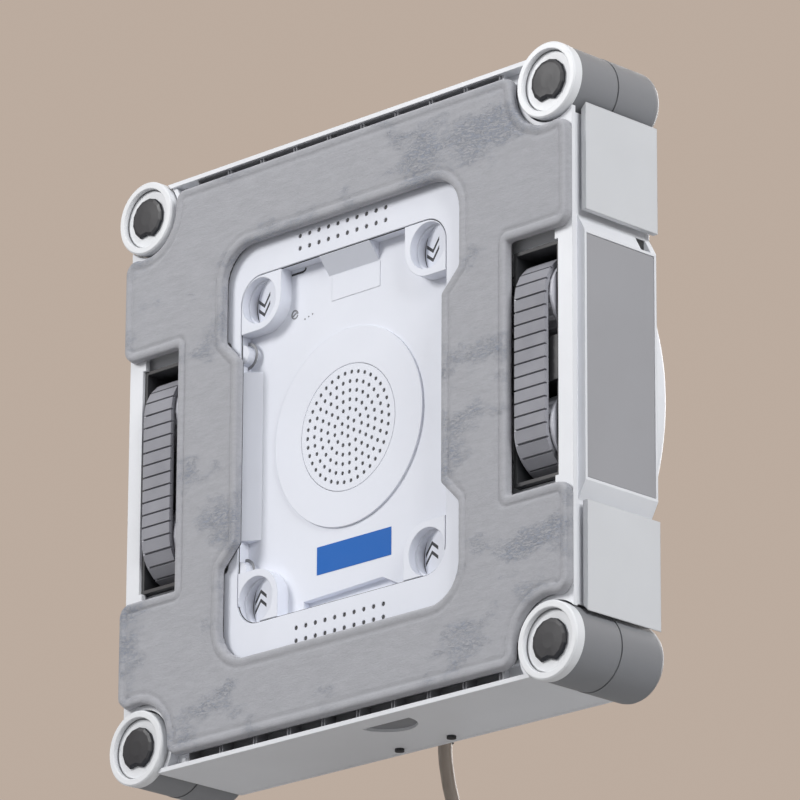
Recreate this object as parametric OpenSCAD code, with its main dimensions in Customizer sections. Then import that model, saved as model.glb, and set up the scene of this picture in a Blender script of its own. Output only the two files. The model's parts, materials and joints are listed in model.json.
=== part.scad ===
// Window cleaning robot, upright on the glass as it works.
// Millimetres, +Z up, +X to the right of a viewer who looks at the glass side, +Y away from the glass.
// The origin is the centre of the face that lies on the glass.

/* [Body] */
// Width of the body across its front strips
body_w = 262; // [256:1:268]
// Height of the body from bottom wall to top wall
body_h = 265; // [260:1:272]
// Depth of the body from the glass to the flat of the rear cover
body_depth = 55; // [54:0.5:60]
// Thickness of the body's walls
wall_t = 2; // [1.6:0.1:2.4]
// How far the side walls lie inside the front strips
side_recess = 2.2; // [1.8:0.1:2.6]
// Depth at which the top and bottom walls begin
rim_y = 3; // [2:0.1:4]
// Depth at which the front strips begin
strip_y = 4.2; // [4.1:0.1:5]
// Thickness of the front strips
strip_t = 2.2; // [1.6:0.1:3]
// Thickness of the deck that carries the inner parts
deck_t = 2.4; // [2:0.1:3]
// Radius of the rounded rear edges
rear_edge_r = 3; // [1:0.5:4]
// Depth of the rear cover's rim
cover_rim = 4.6; // [4:0.1:5.5]
// Thickness of the rear cover's plate
cover_t = 2.5; // [2:0.1:3]

/* [Corner rollers] */
// Radius of a corner roller
roller_r = 16.4; // [15:0.1:17.5]
// Length of a corner roller
roller_len = 26.4; // [22:0.2:30]
// Depth of a roller's front ring behind the glass
roller_y = 0.6; // [0.3:0.1:1.5]
// How far a roller stands out beyond a side strip
roller_out_x = 5.05; // [4.5:0.05:6]
// How far a roller stands out beyond the top or bottom wall
roller_out_z = 3.55; // [3:0.05:4.5]
// Gap between a roller and the body
roller_gap = 0.8; // [0.5:0.1:1.2]
// Width of the white ring on a roller's front
ring_w = 3.1; // [2.4:0.1:4]
// Thickness of the white roller face
face_t = 4.6; // [4:0.1:6]
// Depth of the dish inside the ring
face_dish = 2.4; // [1.5:0.1:3]
// Radius of a roller's axle pin
pin_r = 3; // [2.5:0.1:3.5]
// Radius of the pin's dark head
pin_head_r = 6.6; // [5.5:0.1:7.5]
// Rounding of a corner housing's rear edge
housing_edge_r = 5; // [2:0.5:7]

/* [Side bumpers and panels] */
// Thickness of a bumper plate
plate_t = 2.6; // [2:0.1:3.2]
// Free travel behind a bumper plate
plate_gap = 2.6; // [2.4:0.1:3]
// Depth at which plates and side panels begin
plate_y = 9.4; // [9:0.1:11]
// Distance of a bumper plate's inner end from the middle
plate_z = 62; // [60:0.5:66]
// Gap between a plate's outer end and the corner roller
plate_end_gap = 3.2; // [2:0.1:5]
// Radius of the stems that guide a bumper plate
stem_r = 2.2; // [1.8:0.1:2.6]
// Length of a stem inside the wall
stem_in = 2.6; // [2.3:0.1:3]
// Half length of the side panel's outer face
panel_half = 53.4; // [50:0.2:55]
// Half length of the side island at its foot
island_half = 61; // [58:0.5:61.5]
// Width of the light frame around a side panel
panel_frame = 1.2; // [0.8:0.1:2]
// Thickness of the side panel
panel_inlay_t = 1.6; // [1:0.1:2]
// Height that the side panel's frame stands out from the side wall
island_t = 4.2; // [3.6:0.1:4.6]
// Side of the square spray nozzle
nozzle_w = 5.6; // [4.6:0.1:6.4]

/* [Tracks] */
// Distance of a track from the middle
track_x = 110; // [109:0.25:111]
// Width of a track belt
belt_w = 17; // [15:0.25:17.5]
// Pitch of the belt's tread blocks
belt_pitch = 5.6; // [5.2:0.05:5.7]
// Grip ribs round a pulley, a multiple of four
pulley_teeth = 20; // [16:4:20]
// Pitches along each straight run of the belt
run_pitches = 10; // [8:1:10]
// Depth of the belt's tread behind the glass
belt_y = 1; // [0.5:0.1:2]
// Thickness of the belt's band
band_t = 1; // [0.8:0.1:1.3]
// Height of the tread blocks
tread_h = 1.2; // [0.8:0.1:1.6]
// Height of the guide rib inside the belt
guide_h = 1; // [0.7:0.1:1.1]
// Width of the guide rib inside the belt
guide_w = 5; // [4:0.25:7]
// Radius of the track shafts
shaft_r = 2.5; // [2:0.1:3]
// Teeth of the drive gear, a multiple of four
gear_teeth = 36; // [32:4:40]
// Teeth of the motor pinion, a multiple of four
pinion_teeth = 12; // [12:4:12]
// Module of the gears
gear_module = 0.7; // [0.65:0.01:0.72]
// Radius of a track motor
motor_r = 12; // [10:0.5:12.5]
// Length of a track motor
motor_len = 34; // [28:1:36]

/* [Cleaning pad] */
// Thickness of the pad
pad_t = 4; // [3.4:0.1:4.1]
// Thickness of the pad carrier
carrier_t = 1.3; // [1:0.1:1.4]
// Half width of the pad across its side lobes
pad_half_w = 131.5; // [128:0.5:134]
// Half height of the pad
pad_half_h = 127; // [122:0.5:129]
// Gap between the pad and a corner roller
pad_roller_gap = 2.6; // [1.6:0.1:4]
// Half height of the notches that clear the tracks
pad_notch_half = 54.5; // [50:0.5:56]
// Gap between a belt and the pad beside it
pad_belt_gap = 3.9; // [2.5:0.1:5]
// Half width of the pad's window
window_half_w = 70; // [68:0.5:72]
// Half height of the pad's window
window_half_h = 92; // [90:0.5:94]
// How far the window's waist is drawn in
waist_in = 10; // [6:0.5:14]
// Half height of the window's waist
waist_half = 41; // [38:0.5:44]
// Corner radius of the window
window_r = 16; // [8:0.5:20]
// Rounding of the pad's outer corners
pad_corner_r = 6; // [3:0.5:7]

/* [Base panel] */
// Depth of the base panel's face
base_y = 5.5; // [5.45:0.05:6]
// Thickness of the base panel's border
base_t = 3.2; // [2.8:0.1:3.6]
// Half width of the base panel
base_half_w = 80; // [78:0.5:82]
// Half height of the base panel
base_half_h = 104; // [100:0.5:106]
// Place of the panel's pattern across, from the middle
panel_x = -2.5; // [-4:0.1:4]
// Depth of the sunk field behind the border
field_depth = 6.5; // [5:0.1:7.5]
// Half width of the sunk field
field_half_w = 61.2; // [60:0.2:63]
// Half height of the sunk field
field_half_h = 77.6; // [76:0.2:79]
// Corner radius of the sunk field
field_r = 12; // [8:0.5:12.5]
// Wall thickness of the panel's sunk parts
tray_wall = 1.5; // [1.2:0.1:1.8]
// Distance of the finger wells from the pattern's middle, across
well_x = 50.2; // [49.5:0.1:50.6]
// Distance of the finger wells from the pattern's middle, up
well_z = 66.6; // [65:0.1:67]
// Inner radius of a finger well
well_r = 10.2; // [9:0.1:10.4]
// Wall thickness of a finger well
well_wall = 1.2; // [1:0.1:1.6]
// Depth of a finger well behind the panel's face
well_depth = 10; // [9:0.1:11]
// Depth of the narrow ledge in a finger well
ledge_depth = 3.7; // [3:0.1:4.5]
// Width of the ledge in a finger well
ledge_w = 0.9; // [0.6:0.1:1.4]
// Reach of a finger well's flange beyond the well, on its round inner side
flange_reach = 3.1; // [2:0.1:3.2]
// Radius of the raised disc round the intake
disc_r = 43.5; // [40:0.5:44.5]
// Height of the raised disc above the sunk field
disc_h = 0.9; // [0.5:0.1:1.2]
// Radius of the intake grille
grille_r = 27.6; // [26:0.2:30]
// Thickness of the intake grille
grille_t = 2; // [1.6:0.1:2.3]
// Distance from one ring of intake holes to the next
hole_pitch = 4; // [3.6:0.1:4.2]
// Radius of an intake hole
hole_r = 0.85; // [0.6:0.05:1.1]
// Rings of intake holes
hole_rings = 6; // [4:1:6]
// Distance from one vent hole to the next
vent_pitch = 5.67; // [5:0.01:6]
// Vent holes in a row
vent_count = 10; // [6:1:12]
// Radius of a vent hole
vent_r = 1; // [0.7:0.05:1.2]
// Height of the inner row of vent holes
vent_z = 84; // [82:0.5:86]

/* [Fan] */
// Place of the fan's axis across, from the middle
fan_x = -4; // [-6:0.1:4]
// Outer radius of the fan housing
fan_r = 46; // [42:0.5:47]
// Depth of the fan housing
fan_len = 20; // [18:0.5:21]
// Wall thickness of the fan housing
fan_wall = 2; // [1.5:0.1:2.5]
// Radius of the impeller
impeller_r = 38; // [34:0.5:39]
// Blades of the impeller
blade_count = 9; // [6:1:12]
// Thickness of an impeller blade
blade_t = 1.6; // [1.2:0.1:2]
// Radius of the fan motor
fan_motor_r = 20; // [16:0.5:22]
// Length of the fan motor
fan_motor_len = 16; // [14:0.5:18]
// Radius of the fan shaft
fan_shaft_r = 2; // [1.5:0.1:2.5]

/* [Back] */
// Depth of the whole robot from the glass
robot_depth = 77; // [75:0.5:80]
// Radius of the round back cover
dome_r = 118; // [114:0.5:119]
// Rounding of the back cover's edge
dome_edge_r = 4; // [2:0.5:6]
// Wall thickness of the back cover
dome_wall = 2.4; // [2:0.1:3]
// Radius of the hand dish in the back cover
dish_r = 46; // [42:0.5:50]
// Depth of the hand dish
dish_depth = 20; // [18:0.5:20.5]
// Width of the handle bar
handle_w = 22; // [18:0.5:26]
// Thickness of the handle bar
handle_t = 8; // [6:0.5:8.5]
// Radius of the start button
button_r = 10.8; // [9:0.1:12]
// Travel of the start button
button_travel = 1.2; // [0.6:0.1:1.5]
// Distance of the start button below the middle
button_z = 78; // [74:0.5:84]
// Width of the light ring round the start button
light_w = 3; // [2:0.1:4]
// Exhaust slots in the back cover's rim
exhaust_count = 25; // [15:2:31]
// Radius of the tank's filler plug
plug_r = 5.2; // [4:0.1:6]

/* [Power cord] */
// Diameter of the power cord
cord_d = 6; // [5:0.1:6.05]
// Turns in each of the coil's two layers
coil_turns = 3; // [2:1:4]
// Distance from one turn of the coil to the next
coil_pitch = 6.5; // [6.5:0.05:7]
// Radius of the coil at the middle of its turns
coil_mid_r = 36; // [34:0.5:40]
// Length of the strain relief
relief_len = 21; // [20:0.5:24]

/* [Hidden] */

// Overrun that lets one cut pass cleanly through a face
eps = 0.05;
// Seat gap between pieces that are fixed to each other
fit = 0.2;
// Radial clearance of a shaft or stem that runs in a bore
run = 0.05;
// Side clearance of turning parts
play = 0.6;
// Facets of round parts
fn_big = 128;
fn_mid = 64;
fn_small = 32;
fn_hole = 16;

// Places that follow from the body's sizes
side_wall_x = body_w / 2 - side_recess;
roller_cx = body_w / 2 + roller_out_x - roller_r;
roller_cz = body_h / 2 + roller_out_z - roller_r;
corner_cut_r = roller_r + roller_gap;
deck_y = base_y + base_t;
deck_back = deck_y + deck_t;
cover_join_y = body_depth - cover_rim;
carrier_y = pad_t;
roller_back = roller_y + roller_len;

// The track's pitch circle, centres and stack across its width
pulley_r = pulley_teeth * belt_pitch / (2 * PI);
track_y = belt_y + tread_h + band_t / 2 + pulley_r;
wheel_z = run_pitches * belt_pitch / 2;
belt_outer_r = pulley_r + band_t / 2 + tread_h;
flange_gap = 0.7;
flange_t = 1.4;
cavity_half = belt_w / 2 + flange_gap + flange_t + play;
housing_wall = 1.6;
housing_half = cavity_half + housing_wall;
housing_half_z = wheel_z + belt_outer_r + play + housing_wall + play;
housing_front = base_y;
housing_back = track_y + belt_outer_r + play + housing_wall;
strip_x = track_x + cavity_half;

// The gear train between a track motor and its wheel
gear_pitch_r = gear_teeth * gear_module / 2;
pinion_pitch_r = pinion_teeth * gear_module / 2;
gear_angle = 45;
gear_w = 4.6;
gear_gap = 0.8;
gear_plate_t = 2;
gear_x1 = track_x - housing_half - gear_gap;
gear_x0 = gear_x1 - gear_w;
gear_plate_x1 = gear_x0 - gear_gap;
gear_plate_x0 = gear_plate_x1 - gear_plate_t;
pinion_dist = gear_pitch_r + pinion_pitch_r;
motor_y = track_y + pinion_dist * sin(gear_angle);
motor_z = wheel_z - pinion_dist * cos(gear_angle);
motor_shaft_r = 1.5;
backlash_share = 0.07;
pressure_angle = 24;

// Side bumpers
plate_x0 = side_wall_x + plate_gap;
plate_x1 = plate_x0 + plate_t;
plate_reach = plate_x1 - roller_cx;
plate_z1 = roller_cz - sqrt(roller_r * roller_r - plate_reach * plate_reach) - plate_end_gap;
plate_mid = (plate_z + plate_z1) / 2;
plate_y1 = cover_join_y + cover_rim / 2;
plate_slant = 2.6;
stem_spread_share = 0.26;
stem_spread = (plate_z1 - plate_z) * stem_spread_share;
stem_y = (plate_y + plate_y1) / 2;
island_x1 = side_wall_x + island_t;

// The pad's outline
notch_r = roller_r + pad_roller_gap;
pad_notch_x = track_x - belt_w / 2 - pad_belt_gap;
carrier_inset = 1.4;
carrier_edge_x = strip_x - fit - play;

// The back
dish_floor = robot_depth - dish_depth;
cover_lap = 10;
cover_hole_r = dome_r - cover_lap;
post_r = 4;
post_x = 104;
post_z = 74;
neck_x = 76;
neck_wall = 2.3;
switch_x = 98;
switch_z = 98;
rocker_r = 6.8;
rocker_w = 9.6;

// The cord and its coil
cord_r = cord_d / 2;
cord_y = 66;
cord_exit_z = -127;
cord_sides = 8;
coil_sides = 6;
coil_rings = 24;

// Extrudes an outline in X and Z between two depths
module slab(y0, y1) translate([0, y1, 0]) rotate([90, 0, 0]) linear_extrude(y1 - y0) children();

// Extrudes an outline in Y and Z between two places across
module across(x0, x1) translate([x0, 0, 0]) rotate([90, 0, 90]) linear_extrude(x1 - x0) children();

// A round bar along the depth
module pin_y(r, y0, y1, fn = fn_mid) translate([0, y0, 0]) rotate([-90, 0, 0])
    cylinder(r = r, h = y1 - y0, $fn = fn);

// A round bar across the body
module pin_x(r, x0, x1, fn = fn_mid) translate([x0, 0, 0]) rotate([0, 90, 0])
    cylinder(r = r, h = x1 - x0, $fn = fn);

// A block from its low corner to its high corner
module block(lo, hi) translate(lo) cube(hi - lo);

// Revolves a profile of radius and depth
module revolve(fn = fn_big) rotate([-90, 0, 0]) rotate_extrude($fn = fn) children();

// Puts a right-hand piece on the side that s names, 1 for right and -1 for left
module side(s) mirror([s < 0 ? 1 : 0, 0, 0]) children();

// Moves a piece to one corner roller's centre
module corner(sx, sz) translate([sx * roller_cx, 0, sz * roller_cz]) children();

// Round cuts at the four corner rollers, in the plane of an outline
module corner_cuts(r) {
    for (sx = [-1, 1], sz = [-1, 1])
        translate([sx * roller_cx, sz * roller_cz]) circle(r = r, $fn = fn_mid);
}

// The body's outline, drawn in by an inset
module body_outline(inset) {
    difference() {
        square([2 * (side_wall_x - inset), body_h - 2 * inset], center = true);
        corner_cuts(corner_cut_r + inset);
    }
}

// A rectangle with true round corners
module round_rect(half_x, half_z, r) {
    square([2 * half_x, 2 * (half_z - r)], center = true);
    square([2 * (half_x - r), 2 * half_z], center = true);
    for (sx = [-1, 1], sz = [-1, 1])
        translate([sx * (half_x - r), sz * (half_z - r)]) circle(r = r, $fn = fn_mid);
}

slot_w = 6;
slot_wall = 1.6;
slot_depth = 8;
slot_half = 101;
slot_rib_pitch = 20.2;
slot_ribs = 9;
slot_rib_t = 1.2;
slot_z1 = body_h / 2 - wall_t;
slot_z0 = slot_z1 - slot_w;
slot_floor = rim_y + slot_depth + slot_wall;
notch_x = 17.5;
notch_y = 12.7;
finger_r = 13.4;
finger_depth = 6;

// The ribbed channel along the top and bottom edges, drawn at the top
module edge_channel() {
    block([-slot_half, base_y, slot_z0 - slot_wall], [slot_half, slot_floor, slot_z0]);
    block([-slot_half, slot_floor - slot_wall, slot_z0 - slot_wall],
        [slot_half, slot_floor, slot_z1 + wall_t / 2]);
    for (i = [0 : slot_ribs])
        translate([(i - slot_ribs / 2) * slot_rib_pitch - slot_rib_t / 2, base_y, slot_z0 - slot_wall / 2])
            cube([slot_rib_t, slot_floor - base_y - slot_wall / 2, slot_w + slot_wall]);
}

// One side strip and the raised island that frames the side panel, drawn on the right
module side_strip() {
    slab(strip_y, strip_y + strip_t) difference() {
        translate([strip_x, -body_h / 2]) square([body_w / 2 - strip_x, body_h]);
        corner_cuts(corner_cut_r);
    }
    slab(strip_y + strip_t - eps, deck_back) difference() {
        translate([side_wall_x - wall_t, -body_h / 2]) square([wall_t, body_h]);
        corner_cuts(corner_cut_r + wall_t);
    }
}

module side_island() {
    translate([0, plate_y, 0]) difference() {
        translate([0, plate_y1 - plate_y, 0]) rotate([90, 0, 0]) linear_extrude(plate_y1 - plate_y)
            polygon([[side_wall_x - wall_t, -island_half], [side_wall_x, -island_half],
                [island_x1, -panel_half], [island_x1, panel_half], [side_wall_x, island_half],
                [side_wall_x - wall_t, island_half]]);
        block([island_x1 - panel_inlay_t - fit, panel_frame, -panel_half + panel_frame],
            [island_x1 + eps, plate_y1 - plate_y - panel_frame, panel_half - panel_frame]);
        block([side_wall_x - 2 * wall_t, cover_join_y - plate_y, -island_half - eps],
            [side_wall_x + fit, plate_y1 - plate_y + eps, island_half + eps]);
    }
}

nozzle_y = 46.5;
nozzle_r = 0.7;

module nozzle_cut() {
    for (s = [-1, 1]) side(s)
        block([side_wall_x - 4 * wall_t, nozzle_y - nozzle_w / 2 - fit, panel_half],
            [island_x1 + eps, nozzle_y + nozzle_w / 2 + fit, panel_half + nozzle_w + 2 * fit]);
}

// Room for the drive gear in the deck and in the housing's flange
module gear_well() {
    half = gear_radii(gear_teeth)[4] + play;
    block([gear_x0 - gear_gap, rim_y, wheel_z - half],
        [gear_x1 + gear_gap, deck_back + 2 * housing_wall, wheel_z + half]);
}

board_post_x = 52;
board_post_z0 = 87;
board_post_z1 = 113;
board_y = 28;
board_post_r = 3;

// The tub that carries everything: walls, deck, strips, channels and posts
module chassis() {
    color("white") difference() {
        union() {
            slab(strip_y, cover_join_y) difference() {
                body_outline(0);
                body_outline(wall_t);
            }
            // The top and bottom walls reach further to the front
            slab(rim_y, strip_y + eps) difference() {
                body_outline(0);
                square([body_w, body_h - 2 * wall_t], center = true);
            }
            slab(deck_y, deck_back) body_outline(wall_t / 2);
            for (s = [-1, 1]) side(s) {
                side_strip();
                side_island();
            }
            for (m = [0, 1]) mirror([0, 0, m]) edge_channel();
            for (sx = [-1, 1], sz = [-1, 1])
                translate([sx * post_x, 0, sz * post_z])
                    pin_y(post_r, deck_back - eps, body_depth - cover_t - fit);
            for (sx = [-1, 1], z = [board_post_z0, board_post_z1])
                translate([sx * board_post_x, 0, -z]) pin_y(board_post_r, deck_back - eps, board_y);
        }
        // The tracks and the base panel's tray pass through the deck
        for (s = [-1, 1]) side(s)
            block([track_x - housing_half - fit, rim_y - eps, -housing_half_z - fit],
                [track_x + housing_half + fit, deck_back + eps, housing_half_z + fit]);
        for (s = [-1, 1]) side(s) gear_well();
        slab(deck_y - eps, deck_back + eps) field_outline(tray_wall + fit);
        // The ribbed channels are open to the front
        for (m = [0, 1]) mirror([0, 0, m])
            for (i = [1 : slot_ribs])
                translate([(i - slot_ribs / 2 - 1) * slot_rib_pitch + slot_rib_t / 2, rim_y, slot_z0])
                    cube([slot_rib_pitch - slot_rib_t, slot_floor - slot_wall - rim_y, slot_w]);
        // Half-round finger notch in the bottom wall
        intersection() {
            translate([notch_x, notch_y, -body_h / 2 - eps])
                cylinder(r = finger_r, h = finger_depth, $fn = fn_mid);
            block([notch_x - 2 * finger_r, notch_y, -body_h / 2 - eps],
                [notch_x + 2 * finger_r, notch_y + 2 * finger_r, -body_h / 2 + wall_t + eps]);
        }
        // Bores for the bumper stems and the switch plungers, on both sides
        for (s = [-1, 1], sz = [-1, 1]) side(s) translate([0, stem_y, sz * plate_mid]) {
            for (d = [-1, 1]) translate([0, 0, d * stem_spread])
                pin_x(stem_r + run, side_wall_x - wall_t - eps, side_wall_x + eps);
            pin_x(plunger_r + fit, side_wall_x - wall_t - eps, side_wall_x + eps, fn_small);
        }
        nozzle_cut();
        // Screws of the base panel and of the rear cover
        for (sx = [-1, 1], sz = [-1, 1]) {
            translate([sx * screw_x, 0, sz * screw_z])
                pin_y(screw_r + run, deck_y - eps, deck_back + eps, fn_small);
            translate([sx * post_x, 0, sz * post_z])
                pin_y(screw_r + run, body_depth - cover_t - screw_len, body_depth, fn_small);
        }
    }
    color("white") finger_pocket();
}

// The closed pocket behind the finger notch
module finger_pocket() {
    difference() {
        intersection() {
            translate([notch_x, notch_y, -body_h / 2 + wall_t / 2])
                cylinder(r = finger_r + wall_t, h = finger_depth, $fn = fn_mid);
            block([notch_x - 2 * finger_r, notch_y - wall_t, -body_h / 2],
                [notch_x + 2 * finger_r, notch_y + 2 * finger_r, 0]);
        }
        intersection() {
            translate([notch_x, notch_y, -body_h / 2])
                cylinder(r = finger_r, h = finger_depth - wall_t / 2, $fn = fn_mid);
            block([notch_x - 2 * finger_r, notch_y, -body_h],
                [notch_x + 2 * finger_r, notch_y + 2 * finger_r, 0]);
        }
    }
}

field_z = 0.6;
field_y = base_y + field_depth;
field_back = field_y + tray_wall;
seam_w = 0.5;
seam_depth = 1;
ramp_y = 0.5;
chute_x0 = -16.8;
chute_x1 = 13;
chute_drop = 8;
trench_x0 = -30;
trench_x1 = 16;
trench_x2 = 26;
trench_z = -69.6;
trench_slope = 5;
trench_depth = 3;
bar_w = 7.6;
bar_z0 = -38.4;
bar_z1 = 36.8;
bar_front = 1.2;
boss_r = 4.3;
boss_z = [44.6, -52];
boss_front = 1;
disc_z = 0.4;
screw_x = 72;
screw_z = 49;
screw_r = 1.4;
screw_head_r = 2.6;
screw_head_t = 1.3;
screw_len = 8;
base_corner_r = 20;

// The sunk field's outline, grown by a wall or drawn in by a seam
module field_outline(grow) {
    translate([panel_x, field_z]) round_rect(field_half_w + grow, field_half_h + grow, field_r + grow);
}

// Places its children at the four finger wells
module at_wells() {
    for (sx = [-1, 1], sz = [-1, 1]) translate([panel_x + sx * well_x, 0, sz * well_z]) children();
}

// The four flanges of the finger wells: square at two corners, round at the others
module well_flanges() {
    reach = well_r + flange_reach;
    big = 2 * reach;
    intersection() {
        field_outline(0);
        for (sx = [-1, 1], sz = [-1, 1]) translate([panel_x + sx * well_x, sz * well_z])
            mirror([sx > 0 ? 1 : 0, 0]) mirror([0, sz < 0 ? 1 : 0]) {
                circle(r = reach, $fn = fn_big);
                translate([-big, 0]) square([big + reach, big]);
                translate([-big, -reach]) square([big, big]);
            }
    }
}

// One finger well's ramp, flush with the face at its right and deepest at its left
module well_ramp() {
    rise = well_depth - tray_wall - ramp_y;
    intersection() {
        pin_y(well_r + eps, base_y + ramp_y, base_y + well_depth);
        translate([well_r - ledge_w, base_y + ramp_y, -2 * well_r])
            rotate([0, 0, -atan(rise / (2 * well_r - ledge_w))])
                translate([-3 * well_r, 0, 0]) cube(4 * well_r);
    }
}

// The trench along the field's lower edge, with a slanted right end
module trench_outline() {
    polygon([[trench_x0, field_z - field_half_h], [trench_x0, trench_z - tray_wall], [trench_x1, trench_z],
        [trench_x2, trench_z - trench_slope], [trench_x2, field_z - field_half_h]]);
}

// The white inner panel: a border with vent holes round a sunk field with wells, disc, bar and chute
module base_panel() {
    left = panel_x - field_half_w;
    top = field_z + field_half_h;
    color("whitesmoke") difference() {
        union() {
            slab(base_y, deck_y) round_rect(base_half_w, base_half_h, base_corner_r);
            slab(deck_y - eps, field_back) field_outline(tray_wall);
            slab(field_y, field_y + trench_depth + tray_wall)
                translate([trench_x0 - tray_wall, field_z - field_half_h - tray_wall])
                    square([trench_x2 - trench_x0 + 2 * tray_wall,
                        trench_z - field_z + field_half_h + 2 * tray_wall]);
            at_wells() pin_y(well_r + well_wall, field_y, base_y + well_depth);
        }
        // The sunk field, without what stands up in it
        difference() {
            slab(base_y - eps, field_y) field_outline(0);
            slab(base_y - 2 * eps, field_y + eps) well_flanges();
            translate([fan_x, 0, disc_z]) pin_y(disc_r, field_y - disc_h, field_y + eps, fn_big);
            // The long bar slopes from the left edge down to the field
            translate([0, 0, bar_z0]) linear_extrude(bar_z1 - bar_z0)
                polygon([[left - eps, base_y + bar_front], [left, base_y + bar_front],
                    [left + bar_w, field_y + eps], [left - eps, field_y + eps]]);
            for (z = boss_z) translate([left, 0, z]) pin_y(boss_r, base_y + boss_front, field_y + eps);
            // The chute slopes from the upper edge down to the field
            across(chute_x0, chute_x1) polygon([[base_y - eps, top], [field_y + eps, top - chute_drop],
                [field_y + eps, top + eps], [base_y - eps, top + eps]]);
        }
        // A fine seam parts the flanges from the border
        slab(base_y - eps, base_y + seam_depth) difference() {
            field_outline(0);
            field_outline(-seam_w);
        }
        slab(field_y - eps, field_y + trench_depth) trench_outline();
        at_wells() {
            pin_y(well_r, base_y - eps, base_y + ledge_depth);
            pin_y(well_r - ledge_w, base_y, base_y + well_depth - tray_wall);
        }
        translate([fan_x, 0, 0]) {
            pin_y(grille_r + fit, field_y - disc_h - eps, grille_back, fn_big);
            pin_y(grille_r - grille_rim, field_y - disc_h, field_back + eps, fn_big);
        }
        for (sz = [-1, 1], row = [0, 1], i = [0 : vent_count - 1])
            translate([panel_x + (i - (vent_count - 1) / 2) * vent_pitch, 0,
                sz * (vent_z + row * vent_pitch)]) pin_y(vent_r, base_y - eps, deck_y + eps, fn_hole);
        for (sx = [-1, 1], sz = [-1, 1]) translate([sx * screw_x, 0, sz * screw_z]) {
            pin_y(screw_r + run, base_y - eps, deck_y + eps, fn_small);
            pin_y(screw_head_r + fit, base_y - eps, base_y + screw_head_t + fit, fn_small);
        }
    }
    color("whitesmoke") at_wells() well_ramp();
}

grille_rim = 2;
grille_back = field_y - disc_h + grille_t + fit;

// The perforated disc in front of the fan, holes in rings
module fan_grille() {
    front = field_y - disc_h;
    color("white") translate([fan_x, 0, 0]) difference() {
        pin_y(grille_r, front, front + grille_t, fn_big);
        pin_y(hole_r, front - eps, front + grille_t + eps, fn_hole);
        for (k = [1 : hole_rings]) {
            ring_count = round(2 * PI * k);
            for (i = [0 : ring_count - 1]) rotate([0, (i + k / 2) * 360 / ring_count, 0])
                translate([k * hole_pitch, 0, 0])
                    pin_y(hole_r, front - eps, front + grille_t + eps, fn_hole);
        }
    }
}

// The window in the pad and its carrier, drawn in at the waist
module pad_window() {
    step_x = window_half_w - waist_in;
    far_x = window_half_w + waist_in;
    end_z = waist_half + waist_in;
    offset(r = window_fillet, $fn = fn_mid) offset(delta = -2 * window_fillet)
        offset(r = window_fillet, $fn = fn_mid) difference() {
            round_rect(window_half_w, window_half_h, window_r);
            for (sx = [-1, 1]) polygon([[sx * step_x, -waist_half], [sx * step_x, waist_half],
                [sx * window_half_w, end_z], [sx * far_x, end_z], [sx * far_x, -end_z],
                [sx * window_half_w, -end_z]]);
        }
}

window_fillet = 3;

// The pad's outer shape, clear of the rollers and the tracks, drawn in by an inset
module pad_shape(inset, half_w) {
    offset(r = pad_corner_r, $fn = fn_mid) offset(delta = -pad_corner_r) difference() {
        square([2 * (half_w - inset), 2 * (pad_half_h - inset)], center = true);
        corner_cuts(notch_r + inset);
        for (sx = [-1, 1]) translate([sx * (pad_notch_x - inset + body_w / 2), 0])
            square([body_w, 2 * (pad_notch_half + inset)], center = true);
    }
}

module pad_ring(inset, half_w) {
    difference() {
        pad_shape(inset, half_w);
        offset(delta = inset) pad_window();
    }
}

pad_step_shares = [0, 0.22, 0.52, 1];
pad_inset_shares = [0.8, 0.28, 0];

// The soft pad, its edge drawn in towards the glass
module cleaning_pad() {
    color("darkgray") for (i = [0 : 2])
        slab(pad_t * pad_step_shares[i], pad_t * pad_step_shares[i + 1])
            pad_ring(pad_t * pad_inset_shares[i], pad_half_w);
}

// The rigid plate that holds the pad
module pad_carrier() {
    color("dimgray") slab(carrier_y, carrier_y + carrier_t)
        pad_ring(carrier_inset, carrier_edge_x + carrier_inset);
}

// The flat back of the body, with rounded outer edges
module rear_cover() {
    color("white") difference() {
        union() {
            slab(cover_join_y + fit, body_depth) difference() {
                body_outline(0);
                body_outline(wall_t);
            }
            slab(body_depth - cover_t, body_depth) body_outline(wall_t / 2);
            for (sx = [-1, 1])
                translate([switch_x + sx * (rocker_pin_half - rocker_ear_t / 2), 0, -switch_z])
                    block([-rocker_ear_t / 2, rocker_y - rocker_ear_r, -rocker_ear_r],
                        [rocker_ear_t / 2, body_depth - eps, rocker_ear_r]);
        }
        pin_y(cover_hole_r, body_depth - cover_t - eps, body_depth + eps, fn_big);
        translate([neck_x, 0, neck_z])
            pin_y(plug_r + neck_wall + fit + run, body_depth - cover_t - eps, body_depth + eps);
        block([switch_x - rocker_w / 2 - fit, body_depth - cover_t - eps, -switch_z - rocker_r - fit],
            [switch_x + rocker_w / 2 + fit, body_depth + eps, -switch_z + rocker_r + fit]);
        translate([switch_x, rocker_y, -switch_z])
            pin_x(rocker_pin_r + run, -rocker_pin_half - fit, rocker_pin_half + fit, fn_small);
        for (sx = [-1, 1], sz = [-1, 1]) translate([sx * post_x, 0, sz * post_z]) {
            pin_y(screw_r + run, body_depth - cover_t - eps, body_depth + eps, fn_small);
            pin_y(screw_head_r + fit, body_depth - screw_head_t - fit, body_depth + eps, fn_small);
        }
        // Rounding along the four straight rear edges
        for (s = [-1, 1]) {
            side(s) translate([side_wall_x, body_depth, -body_h / 2]) edge_rounding(body_h);
            mirror([0, 0, s < 0 ? 1 : 0]) translate([side_wall_x, body_depth, body_h / 2])
                rotate([0, -90, 0]) edge_rounding(2 * side_wall_x);
        }
    }
}

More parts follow.
